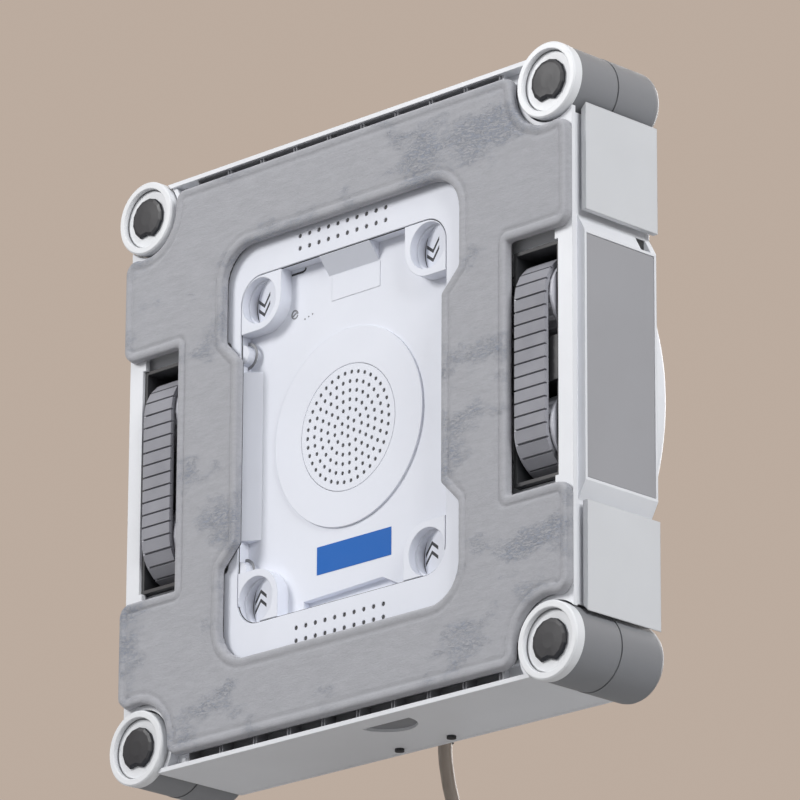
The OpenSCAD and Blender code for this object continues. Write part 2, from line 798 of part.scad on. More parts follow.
// A cutter that leaves a quarter round along a +Z edge, with the solid at -X and -Y
module edge_rounding(len) {
    translate([-rear_edge_r, -rear_edge_r, -eps]) linear_extrude(len + 2 * eps) difference() {
        square(2 * rear_edge_r);
        circle(r = rear_edge_r + eps / 2, $fn = fn_small);
    }
}

neck_z = 118;
rocker_y = 52.6;
rocker_pin_r = 1.2;
rocker_ear_r = 2.4;
rocker_ear_t = 1.6;
rocker_ear_gap = 0.3;
rocker_pin_half = rocker_w / 2 + rocker_ear_gap + rocker_ear_t;

// Points of a quarter round in a profile of radius and depth
function quarter(cx, cy, r, a0, a1, n) = [for (i = [0 : n]) let (a = a0 + (a1 - a0) * i / n)
    [cx + r * cos(a), cy + r * sin(a)]];

exhaust_w = 3;
exhaust_len = 9;
exhaust_step = 4;
gland_half = 8;
gland_y0 = 59;
gland_y1 = 73;
lip_r = 3;
least_edge_r = 1;

// The round back cover with its hand dish and exhaust slots
module dome_cover() {
    inner_edge = max(dome_edge_r - dome_wall, least_edge_r);
    color("white") difference() {
        revolve() polygon(concat(
            [[0, dish_floor - dome_wall], [0, dish_floor], [dish_r - lip_r, dish_floor]],
            quarter(dish_r - lip_r, dish_floor + lip_r, lip_r, -90, 0, 4),
            quarter(dish_r + lip_r, robot_depth - lip_r, lip_r, 180, 90, 5),
            quarter(dome_r - dome_edge_r, robot_depth - dome_edge_r, dome_edge_r, 90, 0, 6),
            [[dome_r, body_depth], [dome_r - dome_wall, body_depth]],
            quarter(dome_r - dome_wall - inner_edge, robot_depth - dome_wall - inner_edge,
                inner_edge, 0, 90, 3),
            [[dish_r + dome_wall, robot_depth - dome_wall], [dish_r + dome_wall, dish_floor - dome_wall]]));
        for (i = [0 : exhaust_count - 1]) rotate([0, -90 + (i - (exhaust_count - 1) / 2) * exhaust_step, 0])
            translate([dome_r - 2 * dome_wall, exhaust_y, -exhaust_w / 2])
                cube([4 * dome_wall, exhaust_len, exhaust_w]);
        translate([0, 0, -button_z])
            pin_y(button_r + light_w + fit, robot_depth - 2 * dome_wall, robot_depth + eps);
        block([-gland_half, gland_y0, -dome_r - eps], [gland_half, gland_y1, -dome_r + 4 * dome_wall]);
    }
    // The cup that holds the light ring and guides the start button
    color("white") translate([0, 0, -button_z]) difference() {
        pin_y(button_r + light_w + fit + dome_wall, robot_depth - 4 * dome_wall,
            robot_depth - dome_wall / 2);
        pin_y(button_r + light_w + fit, robot_depth - 3 * dome_wall, robot_depth);
        pin_y(button_r + run, robot_depth - 5 * dome_wall, robot_depth);
    }
}

exhaust_y = 59;

handle_gap = 1;

// The bar across the hand dish, on two feet
module handle() {
    bar_x = dish_r - lip_r - handle_gap;
    mid_y = robot_depth - handle_t / 2;
    foot_half = (handle_w - handle_t) / 2;
    color("gainsboro") {
        across(-bar_x, bar_x) translate([mid_y, 0]) handle_section();
        for (s = [-1, 1]) side(s)
            block([bar_x - handle_t, dish_floor, -foot_half], [bar_x, mid_y, foot_half]);
    }
}

// The handle's section, with full round edges
module handle_section() {
    square([handle_t, handle_w - handle_t], center = true);
    for (s = [-1, 1]) translate([0, s * (handle_w - handle_t) / 2]) circle(r = handle_t / 2, $fn = fn_mid);
}

// The clear ring that lights up round the start button
module light_ring() {
    color("aliceblue") translate([0, 0, -button_z]) difference() {
        pin_y(button_r + light_w, robot_depth - 3 * dome_wall, robot_depth);
        pin_y(button_r + 2 * run, robot_depth - 4 * dome_wall, robot_depth + eps);
    }
}

// The grey inlay of a side panel
module side_panel(s) {
    edge = panel_frame + fit;
    color("gray") side(s) block([island_x1 - panel_inlay_t, plate_y + edge, -panel_half + edge],
        [island_x1 - fit, plate_y1 - edge, panel_half - edge]);
}

// The fixed rear half of a corner cylinder
module corner_housing(sx, sz) {
    front = roller_back + play;
    locator_r = corner_cut_r - fit;
    color("gray") corner(sx, sz) difference() {
        union() {
            revolve(fn_mid) polygon(concat([[0, front], [roller_r, front]],
                quarter(roller_r - housing_edge_r, body_depth - housing_edge_r, housing_edge_r, 0, 90, 5),
                [[0, body_depth]]));
            intersection() {
                pin_y(locator_r, front + wall_t, cover_join_y - wall_t);
                translate([sx < 0 ? 0 : -locator_r, 0, sz < 0 ? 0 : -locator_r])
                    cube([locator_r, body_depth, locator_r]);
            }
        }
        pin_y(pin_r + run / 2, front - eps, pin_end_y + fit);
    }
}

pin_end_y = 46;
pin_head_y = 2;
pin_head_t = 2;

// The four axle pins with their dark heads
module roller_pins() {
    color("darkslategray") for (sx = [-1, 1], sz = [-1, 1]) corner(sx, sz) {
        pin_y(pin_r, pin_head_y, pin_end_y);
        pin_y(pin_head_r, pin_head_y, pin_head_y + pin_head_t);
    }
}

// A roller's grey barrel
module roller(sx, sz) {
    color("darkgray") corner(sx, sz) difference() {
        pin_y(roller_r - fit, roller_y + face_t, roller_back, fn_big);
        pin_y(pin_r + run, roller_y, roller_back + eps);
    }
}

// A roller's white front: a raised ring round a sunk disc
module roller_face(sx, sz) {
    disc_edge = roller_r - ring_w;
    color("white") corner(sx, sz) revolve() polygon([
        [pin_head_r + play, roller_y + face_dish], [disc_edge - play, roller_y + face_dish],
        [disc_edge - play, roller_y + face_dish + play], [disc_edge, roller_y + face_dish + play],
        [disc_edge, roller_y + play / 2], [disc_edge + play / 2, roller_y],
        [roller_r - play, roller_y], [roller_r, roller_y + play], [roller_r, roller_y + face_t],
        [pin_r + run, roller_y + face_t], [pin_r + run, pin_head_y + pin_head_t + play / 2],
        [pin_head_r + play, pin_head_y + pin_head_t + play / 2]]);
}

// A spring-mounted side plate with its two guide stems
module bumper(s, sz) {
    color("lightgray") side(s) {
        slab(plate_y, plate_y1) polygon([[plate_x0, sz * plate_z], [plate_x1, sz * plate_z],
            [plate_x1, sz * plate_z1], [plate_x0, sz * (plate_z1 - plate_slant)]]);
        for (d = [-1, 1]) translate([0, stem_y, sz * (plate_mid + d * stem_spread)])
            pin_x(stem_r, side_wall_x - wall_t - stem_in, plate_x0 + plate_t / 2);
    }
}

switch_block = [7, 10, 8];
plunger_r = 1.2;
plunger_gap = 0.3;
plate_travel = plate_gap - play;

// Four small switches inside the side walls; each plate presses a plunger at the end of its travel
module bumper_switches() {
    color("black") for (s = [-1, 1], sz = [-1, 1]) side(s) translate([0, stem_y, sz * plate_mid]) {
        translate([side_wall_x - wall_t - fit - switch_block[0], -switch_block[1] / 2, -switch_block[2] / 2])
            cube(switch_block);
        pin_x(plunger_r, side_wall_x - wall_t - 2 * fit, plate_x0 - plate_travel - plunger_gap, fn_small);
    }
}

// The spray nozzles behind the square slots of the sides
module spray_nozzles() {
    color("dimgray") for (s = [-1, 1]) side(s) difference() {
        block([side_wall_x - 3 * wall_t, nozzle_y - nozzle_w / 2, panel_half + fit],
            [side_wall_x + fit, nozzle_y + nozzle_w / 2, panel_half + fit + nozzle_w]);
        translate([0, nozzle_y, panel_half + fit + nozzle_w / 2])
            pin_x(nozzle_r, side_wall_x - wall_t, side_wall_x + wall_t, fn_small);
    }
}

// Shares of a belt pitch where a tread block begins and ends
tread_shares = [0.07, 0.93];

// A point on the belt's loop at a length along it and a height above its pitch line, as depth and height
run_len = run_pitches * belt_pitch;
arc_len = pulley_teeth * belt_pitch / 2;
function belt_point(at, h) =
    at < run_len ? [-(pulley_r + h), at - run_len / 2] :
    at < run_len + arc_len ? let (a = (at - run_len) / arc_len * 180)
        [-(pulley_r + h) * cos(a), run_len / 2 + (pulley_r + h) * sin(a)] :
    at < 2 * run_len + arc_len ? [pulley_r + h, run_len / 2 - (at - run_len - arc_len)] :
    let (a = (at - 2 * run_len - arc_len) / arc_len * 180)
        [(pulley_r + h) * cos(a), -run_len / 2 - (pulley_r + h) * sin(a)];

belt_count = 2 * run_pitches + pulley_teeth;

// The belt's smooth loop at a height above its pitch line
module belt_loop(h) {
    polygon([for (i = [0 : 2 * belt_count - 1]) belt_point(i * belt_pitch / 2, h)]);
}

// The track belt: tread blocks outside, and inside a guide rib that runs in the pulleys' grooves
module track_belt(s) {
    color("gray") side(s) {
        across(track_x - belt_w / 2, track_x + belt_w / 2) translate([track_y, 0]) difference() {
            polygon([for (i = [0 : belt_count - 1], k = [0 : 3])
                belt_point((i + tread_shares[k < 2 ? 0 : 1]) * belt_pitch,
                    band_t / 2 + (k == 0 || k == 3 ? 0 : tread_h))]);
            belt_loop(-band_t / 2);
        }
        across(track_x - guide_w / 2, track_x + guide_w / 2) translate([track_y, 0]) difference() {
            belt_loop(-band_t / 2 + eps);
            belt_loop(-band_t / 2 - guide_h);
        }
    }
}

// A pulley's outline, with grooves between its grip ribs
groove_shares = [0.19, 0.3, 0.7, 0.81];
pulley_gap = 0.3;
pulley_rim_r = pulley_r - band_t / 2 - pulley_gap;
module pulley_outline() {
    step = 360 / pulley_teeth;
    polygon([for (i = [0 : pulley_teeth - 1], k = [0 : 3]) let (a = (i + groove_shares[k]) * step,
        r = k == 0 || k == 3 ? pulley_rim_r : pulley_rim_r - groove_depth) [-r * cos(a), r * sin(a)]]);
}

groove_depth = 1;

// A pulley with light flange discs at both sides, bored for its shaft
module track_pulley() {
    half = belt_w / 2 + flange_gap;
    difference() {
        union() {
            for (s = [-1, 1]) side(s) across(guide_w / 2 + pulley_gap, belt_w / 2) pulley_outline();
            pin_x(pulley_rim_r - guide_h - pulley_gap, -half, half, fn_big);
            for (s = [-1, 1]) side(s) pin_x(pulley_r - band_t / 2, half - eps, half + flange_t, fn_big);
        }
        children();
    }
}

// Involute helpers for the spur gears
function involute(r, base) = r <= base ? 0 : tan(acos(base / r)) * 180 / PI - acos(base / r);
function flank(n, r) = let (pitch_r = n * gear_module / 2, base = pitch_r * cos(pressure_angle))
    90 / n * (1 - 2 * backlash_share) + involute(pitch_r, base) - involute(r, base);
tooth_height_shares = [-1.15, -0.5, 0, 0.45, 0.85];
function gear_radii(n) = [for (share = tooth_height_shares) n * gear_module / 2 + share * gear_module];

// A spur gear's outline with one tooth on the line at the given angle
module gear_outline(n, turn) {
    radii = gear_radii(n);
    rotate(turn) polygon([for (i = [0 : n - 1], s = [-1, 1], k = [0 : 4])
        let (r = s < 0 ? radii[k] : radii[4 - k], a = i * 360 / n + s * flank(n, r))
            [r * cos(a), r * sin(a)]]);
}

// The driven wheel of a track, with its steel shaft and drive gear
module drive_wheel(s) {
    color("lightgray") side(s) translate([0, track_y, wheel_z]) {
        translate([track_x, 0, 0]) track_pulley() pin_x(shaft_r - eps, -belt_w, belt_w);
        pin_x(shaft_r, gear_plate_x0 - play, track_x + housing_half - fit);
        difference() {
            across(gear_x0, gear_x1) gear_outline(gear_teeth, -gear_angle);
            pin_x(shaft_r - eps, gear_x0 - eps, gear_x1 + eps);
        }
    }
}

// The free wheel at the track's lower end, with its shaft
module idler_wheel(s) {
    color("lightgray") side(s) translate([0, track_y, -wheel_z]) {
        translate([track_x, 0, 0]) track_pulley() pin_x(shaft_r - eps, -belt_w, belt_w);
        pin_x(shaft_r, track_x - housing_half + fit, track_x + housing_half - fit);
    }
}

// The pinion on a track motor's shaft, in mesh with the drive gear
module motor_pinion(s) {
    color("goldenrod") side(s) translate([0, motor_y, motor_z]) {
        across(gear_x0, gear_x1) gear_outline(pinion_teeth, 180 - gear_angle + 180 / pinion_teeth);
        pin_x(motor_shaft_r, gear_plate_x0 - motor_bore, gear_x0 + eps);
    }
}

motor_bore = 10;
beam_half = 9.5;
beam_gap = 0.3;
beam_depth = pulley_r - band_t / 2 - guide_h - beam_gap;

// The dark tub that holds one track, with its gear plate
module track_housing(s) {
    x0 = track_x - housing_half;
    x1 = track_x + housing_half;
    z1 = housing_half_z;
    color("dimgray") side(s) difference() {
        union() {
            difference() {
                block([x0, housing_front, -z1], [x1, housing_back, z1]);
                block([x0 + housing_wall, housing_front - eps, -z1 + housing_wall],
                    [x1 - housing_wall, housing_back - housing_wall, z1 - housing_wall]);
            }
            // The flange lies against the back of the deck
            difference() {
                block([x0 - flange_w, deck_back + fit, -z1 - flange_w],
                    [x1 + fit, deck_back + fit + housing_wall, z1 + flange_w]);
                block([x0 + housing_wall, deck_back, -z1 + housing_wall],
                    [x1 - housing_wall, deck_back + 2 * housing_wall, z1 - housing_wall]);
                gear_well();
            }
            // The beam between the wheels backs the belt's straight run
            block([x0, track_y - beam_depth, -beam_half], [x1, track_y + beam_depth, beam_half]);
            // The gear plate stands on two posts beside the gears
            block([gear_plate_x0, gear_plate_y0, gear_post_z0 - post_r],
                [gear_plate_x1, housing_back, gear_post_z1 + post_r]);
            for (z = [gear_post_z0, gear_post_z1])
                translate([0, gear_post_y, z]) pin_x(post_r, gear_plate_x1 - eps, x0 + eps, fn_small);
        }
        // Bores for the shafts, and the motor's shaft passes the gear plate
        for (z = [-wheel_z, wheel_z]) translate([0, track_y, z]) {
            pin_x(shaft_r + run, x0 - eps, x0 + housing_wall + eps);
            pin_x(shaft_r + run, x1 - housing_wall - eps, x1 + eps);
        }
        translate([0, track_y, wheel_z])
            pin_x(shaft_r + run, gear_plate_x0 - eps, gear_plate_x1 + eps);
        translate([0, motor_y, motor_z])
            pin_x(motor_shaft_r + 2 * run, gear_plate_x0 - eps, gear_plate_x1 + eps);
    }
}

flange_w = 3;
gear_plate_y0 = 14;
gear_post_y = 28;
gear_post_z0 = 3.4;
gear_post_z1 = 46;

// A track motor with a stepped end cap, on the gear plate
module track_motor(s) {
    color("silver") side(s) translate([0, motor_y, motor_z]) difference() {
        union() {
            pin_x(motor_r, gear_plate_x0 - fit - motor_len + motor_cap, gear_plate_x0 - fit);
            pin_x(motor_r * motor_cap_share, gear_plate_x0 - fit - motor_len, gear_plate_x0 - fit);
        }
        pin_x(motor_shaft_r + run, gear_plate_x0 - fit - motor_bore, gear_plate_x0);
    }
}

motor_cap = 3;
motor_cap_share = 0.8;
fan_y0 = field_back + fit;
fan_y1 = fan_y0 + fan_len;
port_r = 5;
port_count = 8;

// The round fan housing, open to the grille, with ports in its floor
module fan_housing() {
    color("gainsboro") translate([fan_x, 0, 0]) difference() {
        pin_y(fan_r, fan_y0, fan_y1, fn_big);
        pin_y(fan_r - fan_wall, fan_y0 - eps, fan_y1 - fan_wall, fn_big);
        pin_y(2 * fan_shaft_r, fan_y0, fan_y1 + eps);
        for (i = [0 : port_count - 1]) rotate([0, i * 360 / port_count, 0])
            translate([(fan_motor_r + fan_r) / 2, 0, 0]) pin_y(port_r, fan_y0, fan_y1 + eps, fn_small);
    }
}

impeller_gap = 1.6;
impeller_y0 = fan_y0 + impeller_gap;
impeller_h = 13.4;
blade_arc_r = 24;
blade_end_share = 1.1;

// The impeller: back disc, hub, shaft and curved blades
module fan_impeller() {
    back = impeller_y0 + impeller_h;
    color("slategray") translate([fan_x, 0, 0]) {
        pin_y(impeller_r, back - blade_t, back, fn_big);
        pin_y(4 * fan_shaft_r, impeller_y0 + blade_t, back);
        pin_y(fan_shaft_r, impeller_y0 + blade_t, fan_y1 + fan_motor_len - fan_wall);
        slab(impeller_y0, back - blade_t / 2) intersection() {
            difference() {
                circle(r = impeller_r - eps, $fn = fn_big);
                circle(r = 3 * fan_shaft_r, $fn = fn_mid);
            }
            for (i = [0 : blade_count - 1]) rotate(i * 360 / blade_count) impeller_blade();
        }
    }
}

// The arc of one impeller blade, as an outline
module impeller_blade() {
    translate([impeller_r / 2, -blade_arc_r / 2]) intersection() {
        difference() {
            circle(r = blade_arc_r, $fn = fn_mid);
            circle(r = blade_arc_r - blade_t, $fn = fn_mid);
        }
        translate([-blade_arc_r * blade_end_share, blade_arc_r * (blade_end_share - 1)])
            square(blade_arc_r * blade_end_share);
    }
}

// The fan motor behind the housing
module fan_motor() {
    color("silver") translate([fan_x, 0, 0]) difference() {
        union() {
            pin_y(fan_motor_r, fan_y1, fan_y1 + fan_motor_len - motor_cap);
            pin_y(fan_motor_r - motor_cap, fan_y1, fan_y1 + fan_motor_len);
        }
        pin_y(fan_shaft_r + run, fan_y1 - eps, fan_y1 + fan_motor_len - fan_wall + fit);
    }
}

cell_r = 9.2;
cell_len = 65;
cell_z0 = 60;
cell_count = 3;
wrap_share = 0.9;

// The back-up battery: cells side by side under a wrap
module battery_pack() {
    pack_y = field_back + fit + cell_r;
    color("royalblue") for (i = [0 : cell_count - 1])
        translate([0, pack_y, cell_z0 + i * 2 * cell_r]) pin_x(cell_r + eps, -cell_len / 2, cell_len / 2);
    color("royalblue") block([-cell_len / 2 + wall_t, pack_y - cell_r * wrap_share, cell_z0],
        [cell_len / 2 - wall_t, pack_y + cell_r * wrap_share, cell_z0 + (cell_count - 1) * 2 * cell_r]);
}

board_t = 1.6;
board_edge = 6;
chip_t = 1.8;
chip_shares = [[0.06, 0.2, 0.12, 0.5], [0.24, 0.15, 0.16, 0.35], [0.46, 0.3, 0.1, 0.4],
    [0.62, 0.2, 0.08, 0.3], [0.76, 0.25, 0.16, 0.25]];

// The control board with its chips and sockets
module control_board() {
    y = board_y + fit;
    low = [-board_post_x - board_edge, y, -board_post_z1 - board_edge];
    span = [2 * (board_post_x + board_edge), board_t, board_post_z1 - board_post_z0 + 2 * board_edge];
    color("darkgreen") {
        translate(low) cube(span);
        for (c = chip_shares) translate(low + [c[0] * span[0], board_t - eps, c[1] * span[2]])
            cube([c[2] * span[0], chip_t, c[3] * span[2]]);
    }
}

tank_x0 = -60;
tank_x1 = 96;
tank_z0 = 110;
tank_y0 = 14;
tank_y1 = 48;
tank_r = 5;

// The water tank along the top wall, with its filler neck
module water_tank() {
    z1 = body_h / 2 - wall_t - fit;
    color("lightblue") difference() {
        union() {
            slab(tank_y0, tank_y1) translate([(tank_x0 + tank_x1) / 2, (tank_z0 + z1) / 2])
                round_rect((tank_x1 - tank_x0) / 2, (z1 - tank_z0) / 2, tank_r);
            translate([neck_x, 0, neck_z]) pin_y(plug_r + run + neck_wall, tank_y1 - eps, body_depth);
        }
        translate([neck_x, 0, neck_z]) pin_y(plug_r + run, tank_y1 - tank_r, body_depth + eps);
    }
}

pump_x0 = -66;
pump_len = 30;
pump_body_len = 18;
pump_port_len = 6;
pump_r = 8.4;
pump_end_r = 6.7;
pump_port_r = 2.1;
pump_z = 99;

// The small pump that feeds the nozzles
module water_pump() {
    y = deck_back + fit + pump_r;
    color("dimgray") translate([pump_x0, y, pump_z]) {
        pin_x(pump_r, 0, pump_body_len);
        pin_x(pump_end_r, 0, pump_len);
        pin_x(pump_port_r, -pump_port_len, eps, fn_small);
    }
}

// Screws of the base panel and of the rear cover
module body_screws() {
    color("silver") for (sx = [-1, 1], sz = [-1, 1]) {
        translate([sx * screw_x, base_y, sz * screw_z]) {
            pin_y(screw_head_r, fit / 2, screw_head_t + fit / 2, fn_small);
            pin_y(screw_r, fit, deck_back - base_y, fn_small);
        }
        translate([sx * post_x, body_depth, sz * post_z]) {
            pin_y(screw_head_r, -screw_head_t - fit / 2, -fit / 2, fn_small);
            pin_y(screw_r, -screw_len, -fit, fn_small);
        }
    }
}

foot_x = 9;
foot_spread = 15;
foot_r = 2;
foot_t = 1.2;
foot_y = 45;

// Two small rubber feet at the rear of the bottom wall
module bottom_feet() {
    color("black") for (s = [-1, 1]) translate([foot_x + s * foot_spread, foot_y, -body_h / 2 - foot_t])
        cylinder(r = foot_r, h = foot_t, $fn = fn_small);
}

relief_r0 = 5.6;
relief_r1 = 3.7;

// The cord's gland in the back cover's rim, with its tapered strain relief
module cord_gland() {
    relief_z0 = cord_exit_z + relief_len;
    color("dimgray") {
        difference() {
            block([-gland_half + fit, gland_y0 + fit, -dome_r + fit],
                [gland_half - fit, gland_y1 - fit, relief_z0 + wall_t]);
            translate([0, cord_y, -dome_r])
                cylinder(r = relief_r0 + play, h = dome_r + relief_z0, $fn = fn_mid);
        }
        translate([0, cord_y, cord_exit_z])
            cylinder(r1 = relief_r1, r2 = relief_r0, h = relief_len + eps, $fn = fn_mid);
    }
}

// The lead's route from the strain relief down to the coil, and from the coil to the connector
lead_points = [[0, 66, -127], [0, 66, -131], [0.5, 66, -136], [1.5, 66, -141], [2.5, 66, -146],
    [4, 66, -151], [5.5, 66, -157], [7, 66, -163], [8, 66, -169], [9, 66, -176], [9.5, 66, -183],
    [10, 66, -190], [10, 66, -197], [10, 66, -203]];
tail_points = [[10, 72.5, -209], [10, 72.5, -215], [10, 72.5, -221], [9.5, 72.5, -227], [9, 72.5, -233],
    [8.5, 72.5, -239], [8, 72.5, -245]];
tail_end = tail_points[len(tail_points) - 1];
tail_dir = unit(tail_end - tail_points[len(tail_points) - 2]);

function unit(v) = v / norm(v);
function direction(pts, i) = unit(pts[min(i + 1, len(pts) - 1)] - pts[max(i - 1, 0)]);

// Rings of a tube along a list of points, with one fixed reference direction
function ring(p, dir, r, sides, ref) = let (a = unit(cross(dir, ref)), b = cross(a, dir))
    [for (k = [0 : sides - 1]) p + r * (cos(k * 360 / sides) * a + sin(k * 360 / sides) * b)];
function tube_faces(n, sides) = concat(
    [for (i = [0 : n - 2], k = [0 : sides - 1], h = [0, 1])
        let (a = i * sides + k, b = i * sides + (k + 1) % sides)
            h == 0 ? [a, b, b + sides] : [a, b + sides, a + sides]],
    [for (k = [1 : sides - 2]) [0, k + 1, k]],
    [for (k = [1 : sides - 2]) let (t = (n - 1) * sides) [t, t + k, t + k + 1]]);

module tube(pts, r, sides, ref, ends) {
    n = len(pts);
    polyhedron(points = [for (i = [0 : n - 1])
        each ring(pts[i], i == 0 ? ends[0] : i == n - 1 ? ends[1] : direction(pts, i), r, sides, ref)],
        faces = tube_faces(n, sides));
}

module power_cord() {
    color("rosybrown") tube(lead_points, cord_r, cord_sides, [0, 1, 0], [[0, 0, -1], [0, 0, -1]]);
}

module cord_tail() {
    color("rosybrown") tube(tail_points, cord_r, cord_sides, [0, 1, 0], [[0, 0, -1], tail_dir]);
}

// The coil: two layers that spiral in and out again, and climb in the half turn where they meet
coil_out_r = coil_mid_r + coil_pitch * coil_turns / 2;
coil_top_z = -206;
coil_centre = [lead_points[len(lead_points) - 1][0] - coil_out_r, cord_y, coil_top_z];
function coil_r(t) = coil_out_r - coil_pitch * (t < coil_turns ? t : 2 * coil_turns - t);
climb_share = 0.5;
function coil_climb(t) = let (x = (t - coil_turns + climb_share / 2) / climb_share, c = min(max(x, 0), 1))
    coil_pitch * (1 - cos(180 * c)) / 2;
function coil_point(t) = coil_centre
    + [coil_r(t) * cos(360 * t), coil_climb(t), -coil_r(t) * sin(360 * t)];
coil_steps = 2 * coil_turns * coil_rings;
coil_run = [for (i = [0 : coil_steps]) coil_point(i / coil_rings)];
coil_points = concat([coil_run[0] + [0, 0, cord_r]], coil_run, [coil_run[coil_steps] - [0, 0, cord_r]]);
coil_gap = min([for (i = [0 : coil_steps], j = [i + coil_rings / 2 : coil_steps])
    norm(coil_run[i] - coil_run[j])]) - cord_d;
echo(coil_gap = coil_gap);

module cord_coil() {
    color("rosybrown") tube(coil_points, cord_r, coil_sides, [0, 1, 0], [[0, 0, -1], [0, 0, -1]]);
}

tie_w = 8;
tie_slack = 0.8;
coil_shift_share = 0.5;
tie_t = 1.2;

// A strap round the coil's turns at its top
module cord_tie() {
    half_r = coil_pitch * (coil_turns - coil_shift_share) / 2 + cord_r + tie_slack;
    half_y = coil_pitch / 2 + cord_r + fit / 2;
    color("black") translate(coil_centre + [0, coil_pitch / 2, coil_mid_r]) difference() {
        cube([tie_w, 2 * (half_y + tie_t), 2 * (half_r + tie_t)], center = true);
        cube([tie_w + 2 * eps, 2 * half_y, 2 * half_r], center = true);
    }
}

connector_len = 32;
connector_r = 6;
connector_neck = 9.6;
connector_tip = 9;
connector_tip_r = 2.75;

// The round plug at the cord's end
module cord_connector() {
    tilt = atan2(tail_dir[0], -tail_dir[2]);
    color("black") translate(tail_end) rotate([0, 180 - tilt, 0]) {
        cylinder(r1 = cord_r + play, r2 = connector_r, h = connector_neck, $fn = fn_mid);
        translate([0, 0, connector_neck - eps])
            cylinder(r = connector_r, h = connector_len - connector_neck, $fn = fn_mid);
        translate([0, 0, connector_len - 2 * eps])
            cylinder(r = connector_tip_r, h = connector_tip, $fn = fn_mid);
    }
}

// The start button, free to sink into its ring
module start_button() {
    color("white") translate([0, 0, -button_z])
        pin_y(button_r, robot_depth - 4 * dome_wall - button_travel, robot_depth - button_travel / 3);
}

// The rocker switch at the back, tilted to its off side
module power_switch() {
    color("dimgray") translate([switch_x, rocker_y, -switch_z]) {
        rotate([-rocker_tilt, 0, 0]) intersection() {
            pin_x(rocker_r, -rocker_w / 2, rocker_w / 2);
            block([-rocker_w, -rocker_r, -rocker_r], [rocker_w, rocker_top, rocker_r]);
        }
        pin_x(rocker_pin_r, -rocker_pin_half, rocker_pin_half, fn_small);
    }
}

rocker_tilt = 8;
rocker_top = 3.6;

// The rubber plug of the tank's filler
module tank_cap() {
    color("gray") translate([neck_x, 0, neck_z]) {
        pin_y(plug_r, tank_y1, body_depth + fit + eps);
        pin_y(plug_r + neck_wall + play, body_depth + fit, body_depth + fit + wall_t);
    }
}

chassis();
base_panel();
fan_grille();
pad_carrier();
cleaning_pad();
rear_cover();
dome_cover();
handle();
light_ring();
side_panel(-1);  // side_panel_left
side_panel(1);  // side_panel_right
corner_housing(-1, 1);  // corner_housing_top_left
corner_housing(1, 1);  // corner_housing_top_right
corner_housing(-1, -1);  // corner_housing_bottom_left
corner_housing(1, -1);  // corner_housing_bottom_right
roller_pins();
track_housing(-1);  // track_housing_left
track_housing(1);  // track_housing_right
track_belt(-1);  // track_belt_left
track_belt(1);  // track_belt_right
track_motor(-1);  // track_motor_left
track_motor(1);  // track_motor_right
fan_housing();
fan_motor();
battery_pack();
control_board();
water_tank();
water_pump();
spray_nozzles();
bumper_switches();
body_screws();
bottom_feet();
cord_gland();
power_cord();
cord_coil();
cord_tail();
cord_tie();
cord_connector();
roller(-1, 1);  // roller_top_left
roller(1, 1);  // roller_top_right
roller(-1, -1);  // roller_bottom_left
roller(1, -1);  // roller_bottom_right
roller_face(-1, 1);  // roller_face_top_left
roller_face(1, 1);  // roller_face_top_right
roller_face(-1, -1);  // roller_face_bottom_left
roller_face(1, -1);  // roller_face_bottom_right
bumper(-1, 1);  // bumper_top_left
bumper(1, 1);  // bumper_top_right
bumper(-1, -1);  // bumper_bottom_left
bumper(1, -1);  // bumper_bottom_right
drive_wheel(-1);  // drive_wheel_left
drive_wheel(1);  // drive_wheel_right
idler_wheel(-1);  // idler_wheel_left
idler_wheel(1);  // idler_wheel_right
motor_pinion(-1);  // motor_pinion_left
motor_pinion(1);  // motor_pinion_right
fan_impeller();
start_button();
power_switch();
tank_cap();
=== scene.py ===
"""Window cleaning robot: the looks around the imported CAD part.

Blender works in metres. Numbers that are multiplied by MM, or given to piece() and its callers, are in mm.
"""

import json
import math

import bmesh
import bpy
from mathutils import Matrix, Vector, kdtree, noise


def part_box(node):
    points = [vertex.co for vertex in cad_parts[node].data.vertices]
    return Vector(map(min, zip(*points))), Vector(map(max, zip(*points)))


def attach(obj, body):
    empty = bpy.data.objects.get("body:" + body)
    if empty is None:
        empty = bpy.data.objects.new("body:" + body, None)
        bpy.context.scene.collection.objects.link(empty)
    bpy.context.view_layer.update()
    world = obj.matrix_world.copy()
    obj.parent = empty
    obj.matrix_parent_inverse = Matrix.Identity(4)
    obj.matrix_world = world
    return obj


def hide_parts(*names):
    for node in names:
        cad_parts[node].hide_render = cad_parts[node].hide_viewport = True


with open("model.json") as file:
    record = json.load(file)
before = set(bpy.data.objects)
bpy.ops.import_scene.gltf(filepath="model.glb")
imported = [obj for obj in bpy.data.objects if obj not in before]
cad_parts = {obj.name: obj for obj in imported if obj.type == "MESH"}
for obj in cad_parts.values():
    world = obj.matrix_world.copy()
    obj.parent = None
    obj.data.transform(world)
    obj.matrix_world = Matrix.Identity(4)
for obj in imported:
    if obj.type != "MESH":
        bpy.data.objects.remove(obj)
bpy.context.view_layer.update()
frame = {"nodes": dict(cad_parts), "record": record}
NODES = frame["nodes"]
MM = 0.001


def link(obj):
    bpy.context.scene.collection.objects.link(obj)
    return obj


# Camera
AZIMUTH, RISE, ROLL = math.radians(44.54), math.radians(18.44), math.radians(0.298)
DISTANCE, FOCAL_PX = 2.5732, 6167.4
SHIFT_X, SHIFT_Z = 0.02674, 0.00787
SENSOR_MM, FRAME_PX = 36, 800

